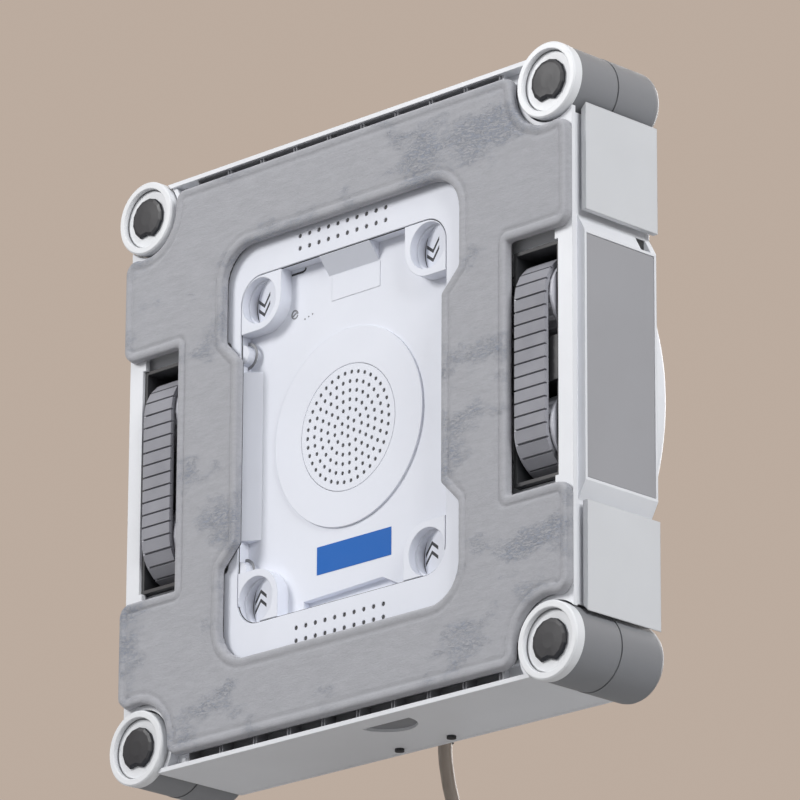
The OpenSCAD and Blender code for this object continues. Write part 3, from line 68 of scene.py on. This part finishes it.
side_dir = Vector((math.cos(AZIMUTH), math.sin(AZIMUTH), 0))
ahead = Vector((-math.sin(AZIMUTH) * math.cos(RISE), math.cos(AZIMUTH) * math.cos(RISE), math.sin(RISE)))
up_dir = side_dir.cross(ahead)
cam_x = side_dir * math.cos(ROLL) + up_dir * math.sin(ROLL)
cam_y = up_dir * math.cos(ROLL) - side_dir * math.sin(ROLL)
camera = link(bpy.data.objects.new("camera", bpy.data.cameras.new("camera")))
camera.data.sensor_width = SENSOR_MM
camera.data.lens = SENSOR_MM * FOCAL_PX / FRAME_PX
camera.data.clip_start, camera.data.clip_end = 0.1, 60
basis = Matrix((cam_x, cam_y, -ahead)).transposed().to_4x4()
camera.matrix_world = Matrix.Translation(-ahead * DISTANCE + cam_x * SHIFT_X + cam_y * SHIFT_Z) @ basis
bpy.context.scene.camera = camera
bpy.context.scene.view_settings.view_transform = "Standard"

# The power cord
CORD_D, CORD_Y = 6.0, 66.0
LEAD = [(0, 66, -127), (0, 66, -131), (0.5, 66, -136), (1.5, 66, -141), (2.5, 66, -146), (4, 66, -151),
        (5.5, 66, -157), (7, 66, -163), (8, 66, -169), (9, 66, -176), (9.5, 66, -183), (10, 66, -190),
        (10, 66, -197), (10, 66, -203)]
TAIL = [(10, 72.5, -209), (10, 72.5, -215), (10, 72.5, -221), (9.5, 72.5, -227), (9, 72.5, -233),
        (8.5, 72.5, -239), (8, 72.5, -245)]
TURNS, PITCH, MID_R, TOP_Z, STEPS = 3, 6.5, 36.0, -206.0, 36
OUT_R, COIL_X = MID_R + PITCH * TURNS / 2, 10


def coil_point(t):
    """A point of the coil after t turns: in towards the middle, a step to the next layer, and out again."""
    r = OUT_R - PITCH * (t if t < TURNS else 2 * TURNS - t)
    c = min(max((t - TURNS) * 2 + 0.5, 0), 1)
    return (COIL_X - OUT_R + r * math.cos(2 * math.pi * t), CORD_Y + PITCH * (1 - math.cos(math.pi * c)) / 2,
            TOP_Z - r * math.sin(2 * math.pi * t))


route = LEAD + [coil_point(i / STEPS) for i in range(2 * TURNS * STEPS + 1)] + TAIL
route = [Vector(p) * MM for p in route]
cord_length = sum((b - a).length for a, b in zip(route, route[1:]))
line = bpy.data.curves.new("cord", "CURVE")
line.dimensions = "3D"
line.bevel_depth = CORD_D / 2 * MM
line.bevel_resolution = 5
line.use_fill_caps = True
spline = line.splines.new("POLY")
spline.points.add(len(route) - 1)
for point, place in zip(spline.points, route):
    point.co = (*place, 1)
    point.radius = 1
spline.use_smooth = True
cord = link(bpy.data.objects.new("cord", line))


# Materials
class Tree:
    """A material's node tree with short calls."""

    def __init__(self, name):
        self.mat = bpy.data.materials.new(name)
        self.mat.use_nodes = True
        self.nodes = self.mat.node_tree.nodes
        self.links = self.mat.node_tree.links
        self.shader = self.nodes["Principled BSDF"]
        self.coords = self.add("ShaderNodeTexCoord").outputs["Object"]

    def add(self, kind, **values):
        node = self.nodes.new(kind)
        for key, value in values.items():
            if hasattr(node, key):
                setattr(node, key, value)
            else:
                node.inputs[key.replace("_", " ")].default_value = value
        return node

    def join(self, out, into):
        self.links.new(out, into)

    def scaled(self, x, y, z):
        node = self.add("ShaderNodeMapping")
        node.inputs["Scale"].default_value = (x, y, z)
        self.join(self.coords, node.inputs["Vector"])
        return node.outputs["Vector"]

    def noise(self, size, detail=3, stretch=(1, 1, 1), roughness=0.5):
        """Noise whose features are about size metres across."""
        node = self.add("ShaderNodeTexNoise", Detail=detail, Roughness=roughness)
        node.inputs["Scale"].default_value = 1 / size
        self.join(self.scaled(*stretch), node.inputs["Vector"])
        return node.outputs["Fac"]

    def ramp(self, fac, stops):
        node = self.add("ShaderNodeValToRGB")
        e = node.color_ramp.elements
        while len(e) < len(stops):
            e.new(0.5)
        for slot, (place, colour) in zip(e, stops):
            slot.position = place
            slot.color = (*colour, 1)
        self.join(fac, node.inputs["Fac"])
        return node.outputs["Color"]

    def tint(self, fac, stops):
        self.join(self.ramp(fac, stops), self.shader.inputs["Base Color"])

    def span(self, fac, low, high, a=0.3, b=0.7):
        node = self.add("ShaderNodeMapRange")
        for key, value in (("From Min", a), ("From Max", b), ("To Min", low), ("To Max", high)):
            node.inputs[key].default_value = value
        self.join(fac, node.inputs["Value"])
        return node.outputs["Result"]

    def bump(self, height, distance, strength=1.0, normal=None):
        node = self.add("ShaderNodeBump")
        node.inputs["Strength"].default_value = strength
        node.inputs["Distance"].default_value = distance
        self.join(height, node.inputs["Height"])
        if normal is not None:
            self.join(normal, node.inputs["Normal"])
        return node.outputs["Normal"]

    def soft_edge(self, radius):
        node = self.add("ShaderNodeBevel", samples=4)
        node.inputs["Radius"].default_value = radius
        return node.outputs["Normal"]


BRUSHED = (40, 1, 40)


def shade(colour, k):
    return tuple(min(max(c * k, 0), 1) for c in colour)


def plastic(name, colour, rough=0.4, grain=0.00035, depth=0.00002, edge=0.0004, specular=0.5):
    t = Tree(name)
    t.tint(t.noise(0.05, 3), [(0.3, shade(colour, 0.97)), (0.7, shade(colour, 1.03))])
    t.join(t.span(t.noise(0.012, 4), rough - 0.05, rough + 0.07), t.shader.inputs["Roughness"])
    normal = t.soft_edge(edge) if edge else None
    t.join(t.bump(t.noise(grain, 2), depth, 0.5, normal), t.shader.inputs["Normal"])
    t.shader.inputs["Specular IOR Level"].default_value = specular
    return t.mat


def metal(name, colour, rough=0.3):
    t = Tree(name)
    lines = t.noise(0.004, 3, BRUSHED)
    t.tint(lines, [(0.3, shade(colour, 0.85)), (0.7, shade(colour, 1.05))])
    t.join(t.span(lines, rough - 0.06, rough + 0.1), t.shader.inputs["Roughness"])
    t.shader.inputs["Metallic"].default_value = 1
    t.join(t.bump(lines, 0.00002, 0.3, t.soft_edge(0.0003)), t.shader.inputs["Normal"])
    return t.mat


def cloth(name, colour):
    """Short grey nap with brushed streaks and worn, scratchy patches."""
    t = Tree(name)
    streaks = t.noise(0.0035, 5, (0.35, 1, 1.6), 0.65)
    fibres = t.noise(0.0006, 4, (0.5, 1, 1.6), 0.7)
    scratches = t.noise(0.0010, 5, (0.45, 1, 1.8), 0.8)
    patches = t.span(t.noise(0.045, 5, (0.6, 1, 1.1), 0.62), 0, 1, 0.52, 0.60)
    worn = t.add("ShaderNodeMath", operation="MULTIPLY")
    t.join(patches, worn.inputs[0])
    t.join(t.span(scratches, 0, 1, 0.49, 0.53), worn.inputs[1])
    base = t.ramp(streaks, [(0.34, shade(colour, 0.94)), (0.62, shade(colour, 1.03))])
    tone = t.add("ShaderNodeMix", data_type="RGBA", blend_type="MIX")
    t.join(worn.outputs["Value"], tone.inputs["Factor"])
    t.join(base, tone.inputs["A"])
    tone.inputs["B"].default_value = (colour[0] * 0.76, colour[1] * 0.81, colour[2] * 0.90, 1)
    fine = t.add("ShaderNodeMix", data_type="RGBA", blend_type="MULTIPLY")
    fine.inputs["Factor"].default_value = 1
    t.join(tone.outputs["Result"], fine.inputs["A"])
    t.join(t.ramp(fibres, [(0.3, (0.91, 0.91, 0.91)), (0.6, (1, 1, 1))]), fine.inputs["B"])
    t.join(fine.outputs["Result"], t.shader.inputs["Base Color"])
    t.shader.inputs["Roughness"].default_value = 0.95
    t.shader.inputs["Specular IOR Level"].default_value = 0.15
    t.shader.inputs["Sheen Weight"].default_value = 0.25
    t.shader.inputs["Sheen Roughness"].default_value = 0.5
    first = t.bump(fibres, 0.00025, 0.7)
    second = t.bump(streaks, 0.0002, 0.5, first)
    t.join(t.bump(worn.outputs["Value"], 0.00022, 0.7, second), t.shader.inputs["Normal"])
    return t.mat


def rubber(name, colour, rough=0.7):
    t = Tree(name)
    t.tint(t.noise(0.02, 4), [(0.3, shade(colour, 0.92)), (0.7, shade(colour, 1.08))])
    t.join(t.span(t.noise(0.006, 4), rough - 0.08, rough + 0.08), t.shader.inputs["Roughness"])
    t.join(t.bump(t.noise(0.0005, 4), 0.00005, 0.6, t.soft_edge(0.0002)), t.shader.inputs["Normal"])
    return t.mat


def clear(name, colour, rough=0.2, transmission=0.4):
    t = Tree(name)
    t.tint(t.noise(0.03, 3), [(0.3, shade(colour, 0.96)), (0.7, colour)])
    t.join(t.span(t.noise(0.01, 3), rough, rough + 0.1), t.shader.inputs["Roughness"])
    t.shader.inputs["Transmission Weight"].default_value = transmission
    t.shader.inputs["IOR"].default_value = 1.46
    return t.mat


MATERIALS = {
    "white_shell": plastic("white_shell", (0.80, 0.81, 0.84), 0.42),
    "white_inner": plastic("white_inner", (0.78, 0.80, 0.87), 0.48, edge=0.0005),
    "white_ring": plastic("white_ring", (0.82, 0.83, 0.85), 0.35, edge=0.0003),
    "light_grey": plastic("light_grey", (0.66, 0.67, 0.69), 0.5, grain=0.0006, depth=0.00004, edge=0.0006),
    "mid_grey": plastic("mid_grey", (0.36, 0.36, 0.38), 0.5, grain=0.0006, depth=0.00004),
    "barrel_grey": plastic("barrel_grey", (0.245, 0.25, 0.265), 0.45, grain=0.0006, depth=0.00003),
    "dark_plastic": plastic("dark_plastic", (0.035, 0.036, 0.04), 0.5),
    "pad_cloth": cloth("pad_cloth", (0.43, 0.43, 0.455)),
    "belt_rubber": rubber("belt_rubber", (0.29, 0.29, 0.32)),
    "wheel_plastic": plastic("wheel_plastic", (0.55, 0.55, 0.60), 0.4),
    "steel": metal("steel", (0.62, 0.62, 0.63)),
    "brass": metal("brass", (0.70, 0.52, 0.25)),
    "board": plastic("board", (0.03, 0.16, 0.07), 0.35),
    "cell_wrap": plastic("cell_wrap", (0.05, 0.14, 0.42), 0.35),
    "tank_plastic": clear("tank_plastic", (0.70, 0.80, 0.88)),
    "lens": clear("lens", (0.82, 0.88, 0.95), 0.3, 0.3),
    "cord_jacket": rubber("cord_jacket", (0.36, 0.30, 0.25), 0.35),
    "dark_rubber": rubber("dark_rubber", (0.03, 0.03, 0.033), 0.6),
    "patch": plastic("patch", (0.012, 0.13, 0.48), 0.5, edge=0, specular=0.2),
    "lining": plastic("lining", (0.32, 0.32, 0.34), 0.6, edge=0),
    "plug_dark": plastic("plug_dark", (0.018, 0.02, 0.026), 0.42, edge=0.0002, specular=0.4),
}
for part in frame["record"]["subparts"]:
    for slot in NODES[part["node"]].material_slots:
        slot.material = MATERIALS[part["material_slot"]]

cord.data.materials.append(MATERIALS["cord_jacket"])
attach(cord, "body")
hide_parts("power_cord", "cord_coil", "cord_tail")


def piece(name, verts, faces, slot, body="body", smooth=False):
    mesh = bpy.data.meshes.new(name)
    mesh.from_pydata([Vector(v) * MM for v in verts], [], faces)
    mesh.update()
    obj = link(bpy.data.objects.new(name, mesh))
    bm = bmesh.new()
    bm.from_mesh(mesh)
    bmesh.ops.recalc_face_normals(bm, faces=bm.faces)
    bm.to_mesh(mesh)
    bm.free()
    for f in mesh.polygons:
        f.use_smooth = smooth
    mesh.materials.append(MATERIALS[slot])
    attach(obj, body)
    return obj


def plate(name, outline, place, thick, slot, body="body"):
    """A thin plate: place(a, b, depth) gives the point in mm for an outline's point (a, b) at a depth."""
    n = len(outline)
    verts = [place(a, b, 0) for a, b in outline] + [place(a, b, thick) for a, b in outline]
    faces = [list(range(n)), list(range(2 * n - 1, n - 1, -1))]
    faces += [[i, (i + 1) % n, n + (i + 1) % n, n + i] for i in range(n)]
    return piece(name, verts, faces, slot, body)


# The cleaning pad
RIM_W, GROOVE_W, GROOVE_DEPTH, RIM_SINK, FIELD_SINK = 4.4, 2.0, 1.0, 2.0, 0.25
VOXEL, RIM_STEP, FRONT_Y = 0.0009, 0.0004, 0.0021


def pad_profile(d):
    """Depth of the pad's front at a distance d from its edge, in mm: a rolled rim, a groove, a flat field."""
    if d < RIM_W:
        x = 2 * d / RIM_W - 1
        outer = RIM_SINK if x < 0 else GROOVE_DEPTH
        return outer * (1 - math.sqrt(max(0.0, 1 - x * x)))
    t = min((d - RIM_W) / GROOVE_W, 1)
    return GROOVE_DEPTH * (1 - t) ** 2 + FIELD_SINK * t


def outline_points(bm):
    """Points along the outline of the pad's back, close together, for distances from the edge."""
    back = max(v.co.y for v in bm.verts)
    rim = []
    for e in bm.edges:
        if all(v.co.y > back - 1e-5 for v in e.verts) and len(e.link_faces) == 2:
            flat = [abs(f.normal.y) > 0.9 for f in e.link_faces]
            if flat[0] != flat[1]:
                a, b = (v.co.copy() for v in e.verts)
                count = max(1, int((b - a).length / RIM_STEP))
                rim += [a.lerp(b, i / count) for i in range(count)]
    return rim


def ripple(x, z):
    """The nap's small rise and fall in mm at a point given in metres."""
    broad = noise.noise(Vector((x * 70, 3.1, z * 90)))
    fine = noise.noise(Vector((x * 240, 7.7, z * 300)))
    return broad * 0.14 + fine * 0.06


def build_pad():
    bm = bmesh.new()
    bm.from_mesh(NODES["cleaning_pad"].data)
    bmesh.ops.remove_doubles(bm, verts=bm.verts, dist=1e-6)
    rim = outline_points(bm)
    tree = kdtree.KDTree(len(rim))
    for i, p in enumerate(rim):
        tree.insert((p.x, 0, p.z), i)
    tree.balance()
    mesh = bpy.data.meshes.new("pad")
    bm.to_mesh(mesh)
    bm.free()
    obj = link(bpy.data.objects.new("pad", mesh))
    remesh = obj.modifiers.new("remesh", "REMESH")
    remesh.mode = "VOXEL"
    remesh.voxel_size = VOXEL
    bpy.context.view_layer.update()
    made = bpy.data.meshes.new_from_object(obj.evaluated_get(bpy.context.evaluated_depsgraph_get()))
    obj.modifiers.clear()
    obj.data = made
    for v in made.vertices:
        x, y, z = v.co
        if y > FRONT_Y:
            continue
        d = tree.find((x, 0, z))[2] / MM
        v.co.y = (pad_profile(d) + max(0.0, ripple(x, z) + 0.08) * min(1, d / 3)) * MM
    for f in made.polygons:
        f.use_smooth = True
    made.materials.clear()
    made.materials.append(MATERIALS["pad_cloth"])
    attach(obj, "body")
    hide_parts("cleaning_pad")


build_pad()

# Small printed and moulded detail of the base panel
BASE_Y, PANEL_X, WELL_X, WELL_Z, WELL_R, LEDGE_W, RAMP_Y = 5.5, -2.5, 50.2, 66.6, 10.2, 0.9, 0.5
RAMP_RISE, GAP_R, GAP_W = 8.0, 9.9, 1.3
CHEVRON_H, CHEVRON_T, CHEVRON_TOP, CHEVRON_STEP = 3.8, 1.6, 3.6, 4.0
CHEVRON_MID, CHEVRON_HALF, PRINT_T = -1.6, 5.8, 0.05
RAMP_SLOPE = RAMP_RISE / (2 * WELL_R - LEDGE_W)


def ramp_place(cx):
    def place(x, z, depth):
        return (x, BASE_Y + RAMP_Y + (cx + WELL_R - LEDGE_W - x) * RAMP_SLOPE - 0.02 - depth, z)

    return place


def arc(cx, cz, r, a0, a1, n=24):
    angles = [math.radians(a0 + (a1 - a0) * i / n) for i in range(n + 1)]
    return [(cx + r * math.cos(a), cz + r * math.sin(a)) for a in angles]


SIDES, ENDS = ((-1, "left"), (1, "right")), ((1, "top"), (-1, "bottom"))
wells = [(PANEL_X + sx * WELL_X, sz * WELL_Z, sz, f"{vz}_{hx}") for sx, hx in SIDES for sz, vz in ENDS]
for cx, cz, sz, name in wells:
    left, centre, right = (cx + CHEVRON_MID + d for d in (-CHEVRON_HALF, 0, CHEVRON_HALF))
    for k in range(2):
        top = cz + sz * (CHEVRON_TOP - CHEVRON_STEP * k)
        outline = [(left, top), (centre, top - sz * CHEVRON_H), (right, top), (right, top - sz * CHEVRON_T),
                   (centre, top - sz * (CHEVRON_H + CHEVRON_T)), (left, top - sz * CHEVRON_T)]
        plate(f"chevron_{name}_{k}", outline, ramp_place(cx), PRINT_T, "dark_plastic")

# Dark crescents painted as the shade in the gaps where the ramps meet the wells' left walls
for cx, cz, sz, name in wells:
    outer = arc(cx, cz, GAP_R, 100, 260, 20)
    inner = [(x + GAP_W * math.sin(math.pi * i / 20), z) for i, (x, z) in enumerate(outer)]
    plate(f"well_gap_shade_{name}", outer + inner[-2:0:-1], ramp_place(cx), PRINT_T, "dark_plastic")


DISC_T, STRIP_T = 0.1, 0.1


def discs(name, centres, r, y, slot, sides=16):
    """Thin round plates that face the glass, all in one mesh."""
    verts, faces = [], []
    for x, z in centres:
        for depth in (0, DISC_T):
            faces.append(list(range(len(verts), len(verts) + sides)))
            verts += [(a, y + depth, b) for a, b in arc(x, z, r, 0, 360, sides)[:-1]]
        start = len(verts) - 2 * sides
        faces += [[start + i, start + (i + 1) % sides, start + sides + (i + 1) % sides, start + sides + i]
                  for i in range(sides)]
    return piece(name, verts, faces, slot)


def rect(x0, x1, z0, z1):
    return [(x0, z0), (x1, z0), (x1, z1), (x0, z1)]


FIELD_Y, FAN_X, GRILLE_BACK = 12.0, -4.0, 13.1
VENT_Z, VENT_PITCH, VENT_COUNT = 84.0, 5.67, 10
vents = [(PANEL_X + (i - (VENT_COUNT - 1) / 2) * VENT_PITCH, sz * (VENT_Z + row * VENT_PITCH))
         for sz in (-1, 1) for row in (0, 1) for i in range(VENT_COUNT)]
# Dark discs inside the vent holes, painted as the shade within them
discs("vent_shade_discs", vents, 0.97, BASE_Y + 0.35, "dark_plastic")
HOLE_PITCH, HOLE_RINGS, HOLE_R, GRILLE_Y = 4.0, 6, 0.85, 11.1
holes = [(FAN_X, 0)]
for k in range(1, HOLE_RINGS + 1):
    count = round(2 * math.pi * k)
    for i in range(count):
        a = (i + k / 2) * 2 * math.pi / count
        holes.append((FAN_X + k * HOLE_PITCH * math.cos(a), -k * HOLE_PITCH * math.sin(a)))
# Dark discs inside the grille's holes, painted as the shade within them
discs("hole_shade_discs", holes, HOLE_R - 0.03, GRILLE_Y + 0.35, "dark_plastic")
# A dark disc behind the grille, painted as the shade seen through its holes
discs("grille_shade_disc", [(FAN_X, 0)], 25.2, GRILLE_BACK + 0.1, "dark_plastic", sides=96)

# A plain blue patch below the fan, and a faint service plate at the chute's foot
plate("floor_patch", rect(-22.5, 21.1, -61.0, -48.8), lambda x, z, d: (x, FIELD_Y - 0.02 - d, z), 0.12,
      "patch")
plate("service_plate", rect(-15.0, 13.7, 58.6, 69.9), lambda x, z, d: (x, FIELD_Y - 0.01 - d, z), 0.15,
      "white_inner")


def strip(name, loop, half, y, slot, closed=True, body="body"):
    """A narrow flat band that follows a list of (x, z) points."""
    n = len(loop)
    verts = []
    for i, (x, z) in enumerate(loop):
        before = loop[i - 1] if closed or i else loop[i]
        after = loop[(i + 1) % n] if closed or i < n - 1 else loop[i]
        dx, dz = after[0] - before[0], after[1] - before[1]
        size = math.hypot(dx, dz)
        nx, nz = -dz / size * half, dx / size * half
        verts += [(x + nx, y, z + nz), (x - nx, y, z - nz), (x - nx, y + STRIP_T, z - nz),
                  (x + nx, y + STRIP_T, z + nz)]
    faces = []
    for i in range(n if closed else n - 1):
        a, b = 4 * i, 4 * ((i + 1) % n)
        faces += [[a + k, a + (k + 1) % 4, b + (k + 1) % 4, b + k] for k in range(4)]
    if not closed:
        faces += [[0, 1, 2, 3], [4 * n - 4, 4 * n - 3, 4 * n - 2, 4 * n - 1]]
    return piece(name, verts, faces, slot, body)


def round_loop(cx, cz, half_x, half_z, r):
    loop = []
    for sx, sz, a in ((1, 1, 0), (-1, 1, 90), (-1, -1, 180), (1, -1, 270)):
        loop += arc(cx + sx * (half_x - r), cz + sz * (half_z - r), r, a, a + 90, 12)
    return loop


FIELD_HALF_W, FIELD_HALF_H, FIELD_Z, FIELD_R = 61.2, 77.6, 0.6, 12.0
# A dark band painted as the shade in the seam round the sunk field's edge
strip("field_seam_shade", round_loop(PANEL_X, FIELD_Z, FIELD_HALF_W - 0.25, FIELD_HALF_H - 0.25, FIELD_R), 0.22,
      BASE_Y + 0.7, "dark_plastic")
# Grey rings painted as the shade in the gaps around the wall bosses
for k, z in enumerate((44.6, -52.0)):
    strip(f"boss_gap_shade_{k}", arc(PANEL_X - FIELD_HALF_W + 0.3, z, 5.5, -88, 88), 0.7, FIELD_Y - 2.4,
          "barrel_grey", False)
MARK_Y, SCREW_X, SCREW_Z = FIELD_Y - 0.12, -37.3, 58.0
# A dark line painted as the shade in the gap at the back of the field's top wall
strip("hook_gap_shade", [(-41.0, 76.2), (-32.6, 76.2), (-31.2, 76.7), (-30.8, 77.7)], 0.45, MARK_Y,
      "dark_plastic", False)
strip("ring_screw", arc(SCREW_X, SCREW_Z, 1.8, 0, 345), 0.3, MARK_Y, "barrel_grey", False)
strip("ring_screw_slot", [(SCREW_X - 1.1, SCREW_Z - 0.7), (SCREW_X + 1.1, SCREW_Z + 0.7)], 0.3, MARK_Y,
      "barrel_grey", False)

# Dark linings in the bays of the edge channels
SLOT_RIBS, SLOT_PITCH, SLOT_RIB_T, SLOT_FLOOR_Y, SLOT_Z0, SLOT_Z1 = 9, 20.2, 1.2, 11.0, 124.5, 130.5
SLOT_FRONT_Y, LINING_T, LINING_GAP = 4.2, 0.3, 0.1
for sz, vz in ENDS:
    verts, faces = [], []
    for i in range(SLOT_RIBS):
        x0 = (i - SLOT_RIBS / 2) * SLOT_PITCH + SLOT_RIB_T / 2 + LINING_GAP
        x1 = x0 + SLOT_PITCH - SLOT_RIB_T - 2 * LINING_GAP
        z0, z1 = sz * (SLOT_Z0 + LINING_GAP), sz * (SLOT_Z1 - LINING_GAP)
        floor_y = SLOT_FLOOR_Y - LINING_GAP
        k = len(verts)
        levels = ((0, SLOT_FRONT_Y), (0, floor_y), (LINING_T, floor_y - LINING_T), (LINING_T, SLOT_FRONT_Y))
        for wall, y in levels:
            a0, a1, b0, b1 = x0 + wall, x1 - wall, z0 + sz * wall, z1 - sz * wall
            verts += [(a0, y, b0), (a1, y, b0), (a1, y, b1), (a0, y, b1)]
        faces += [[k + 4, k + 5, k + 6, k + 7], [k + 8, k + 9, k + 10, k + 11]]
        for j0, j1 in ((0, 4), (8, 12), (12, 0)):
            faces += [[k + j0 + a, k + j0 + (a + 1) % 4, k + j1 + (a + 1) % 4, k + j1 + a] for a in range(4)]
    piece(f"channel_lining_{vz}", verts, faces, "lining")

# A darker plate painted as the shade inside the finger notch of the bottom wall
NOTCH_X, NOTCH_Y, NOTCH_R, NOTCH_Z = 17.5, 12.9, 13.2, -131.2
plate("notch_shade_face", arc(NOTCH_X, NOTCH_Y, NOTCH_R, 0, 180, 36), lambda x, y, d: (x, y, NOTCH_Z + d), 0.3,
      "barrel_grey")

# Dark faces of the spray slots
NOZZLE_FACE_X = 129.02
for sx, hx in SIDES:
    plate(f"nozzle_face_{hx}", rect(43.6, 49.4, 53.5, 59.3),
          lambda y, z, d: (sx * (NOZZLE_FACE_X + d), y, z), 0.1, "dark_plastic")

# Faceted plugs with a notch over the rollers' axle heads
PLUG_SIDES, PLUG_TURN, NOTCH_SIDE, NOTCH_SHARE, NOTCH_MIN_R = 14, 0.35, 10, 0.80, 5
PLUG_RINGS = [(9.2, 2.9), (9.4, 2.3), (9.0, 1.7), (7.7, 1.35), (3.3, 1.2)]
FACE_Y, FACE_GROOVE_R = 3.0, 13.15
for part in frame["record"]["subparts"]:
    kind, _, corner = part["node"].partition("roller_face_")
    if kind or not corner:
        continue
    lo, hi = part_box(part["node"])
    cx, cz = (lo.x + hi.x) / 2 / MM, (lo.z + hi.z) / 2 / MM
    n, verts, faces = PLUG_SIDES, [], []
    for r, y in PLUG_RINGS:
        for i in range(n):
            a = 2 * math.pi * (i + PLUG_TURN) / n
            k = NOTCH_SHARE if i == NOTCH_SIDE and r > NOTCH_MIN_R else 1
            verts.append((cx + k * r * math.cos(a), y, cz + k * r * math.sin(a)))
    last = (len(PLUG_RINGS) - 1) * n
    for j in range(0, last, n):
        faces += [[j + i, j + (i + 1) % n, j + n + (i + 1) % n, j + n + i] for i in range(n)]
    faces += [list(range(n)), list(range(last, last + n))]
    piece(f"axle_plug_{corner}", verts, faces, "plug_dark")
    strip(f"face_groove_{corner}", arc(cx, cz, FACE_GROOVE_R, 0, 360, 64)[:-1], 0.2, FACE_Y - 0.15,
          "barrel_grey", body=f"corner_roller_{corner}")

discs("field_dots", [(-31.2, 54.6), (-28.9, 55.2), (-26.6, 55.8)], 0.35, FIELD_Y - 0.1, "barrel_grey")

# Floor, world and lights
FLOOR_HALF, FLOOR_Z = 20, -1.4
floor_mesh = bpy.data.meshes.new("floor")
floor_mesh.from_pydata([(x * FLOOR_HALF, z * FLOOR_HALF, FLOOR_Z) for x, z in rect(-1, 1, -1, 1)], [],
                       [[0, 1, 2, 3]])
floor = link(bpy.data.objects.new("floor", floor_mesh))
floor_look = Tree("floor")
floor_seen = floor_look.add("ShaderNodeMix", data_type="RGBA", blend_type="MIX")
floor_look.join(floor_look.add("ShaderNodeLightPath").outputs["Is Camera Ray"], floor_seen.inputs["Factor"])
floor_tones = [(0.3, (0.50, 0.49, 0.48)), (0.7, (0.54, 0.53, 0.52))]
floor_look.join(floor_look.ramp(floor_look.noise(0.4, 3), floor_tones), floor_seen.inputs["A"])
floor_seen.inputs["B"].default_value = (0.95, 0.90, 0.85, 1)
floor_look.join(floor_seen.outputs["Result"], floor_look.shader.inputs["Base Color"])
floor_look.shader.inputs["Roughness"].default_value = 0.9
floor.data.materials.append(floor_look.mat)

world = bpy.data.worlds.new("studio")
bpy.context.scene.world = world
world.use_nodes = True
wn, wl = world.node_tree.nodes, world.node_tree.links
wn.clear()
coord = wn.new("ShaderNodeTexCoord")
split = wn.new("ShaderNodeSeparateXYZ")
wl.new(coord.outputs["Generated"], split.inputs["Vector"])
level = wn.new("ShaderNodeMapRange")
for key, value in (("From Min", -0.6), ("From Max", 0.8), ("To Min", 0.0), ("To Max", 1.0)):
    level.inputs[key].default_value = value
wl.new(split.outputs["Z"], level.inputs["Value"])
sky = wn.new("ShaderNodeValToRGB")
sky.color_ramp.elements[0].color = (0.40, 0.41, 0.43, 1)
sky.color_ramp.elements[1].color = (0.34, 0.35, 0.365, 1)
wl.new(level.outputs["Result"], sky.inputs["Fac"])
light = wn.new("ShaderNodeBackground")
light.inputs["Strength"].default_value = 1.0
wl.new(sky.outputs["Color"], light.inputs["Color"])
shown = wn.new("ShaderNodeBackground")
shown.inputs["Color"].default_value = (0.50, 0.41, 0.345, 1)
path = wn.new("ShaderNodeLightPath")
mix = wn.new("ShaderNodeMixShader")
out = wn.new("ShaderNodeOutputWorld")
seen = path.outputs["Is Camera Ray"]
for ray in ("Is Glossy Ray", "Is Transmission Ray"):
    either = wn.new("ShaderNodeMath")
    either.operation = "MAXIMUM"
    wl.new(seen, either.inputs[0])
    wl.new(path.outputs[ray], either.inputs[1])
    seen = either.outputs["Value"]
wl.new(seen, mix.inputs["Fac"])
wl.new(light.outputs["Background"], mix.inputs[1])
wl.new(shown.outputs["Background"], mix.inputs[2])
wl.new(mix.outputs["Shader"], out.inputs["Surface"])


def lamp(name, place, size, power, colour=(1, 1, 1)):
    data = bpy.data.lights.new(name, "AREA")
    data.energy, data.size, data.color = power, size, colour
    obj = link(bpy.data.objects.new(name, data))
    obj.location = place
    obj.rotation_mode = "QUATERNION"
    obj.rotation_quaternion = (-Vector(place)).to_track_quat("-Z", "Y")


lamp("key", (-1.0, -1.9, 1.1), 0.8, 34)
lamp("side", (2.0, -0.5, 0.9), 1.2, 33, (0.98, 0.99, 1))
lamp("back", (-0.4, 2.0, 0.8), 1.4, 24)
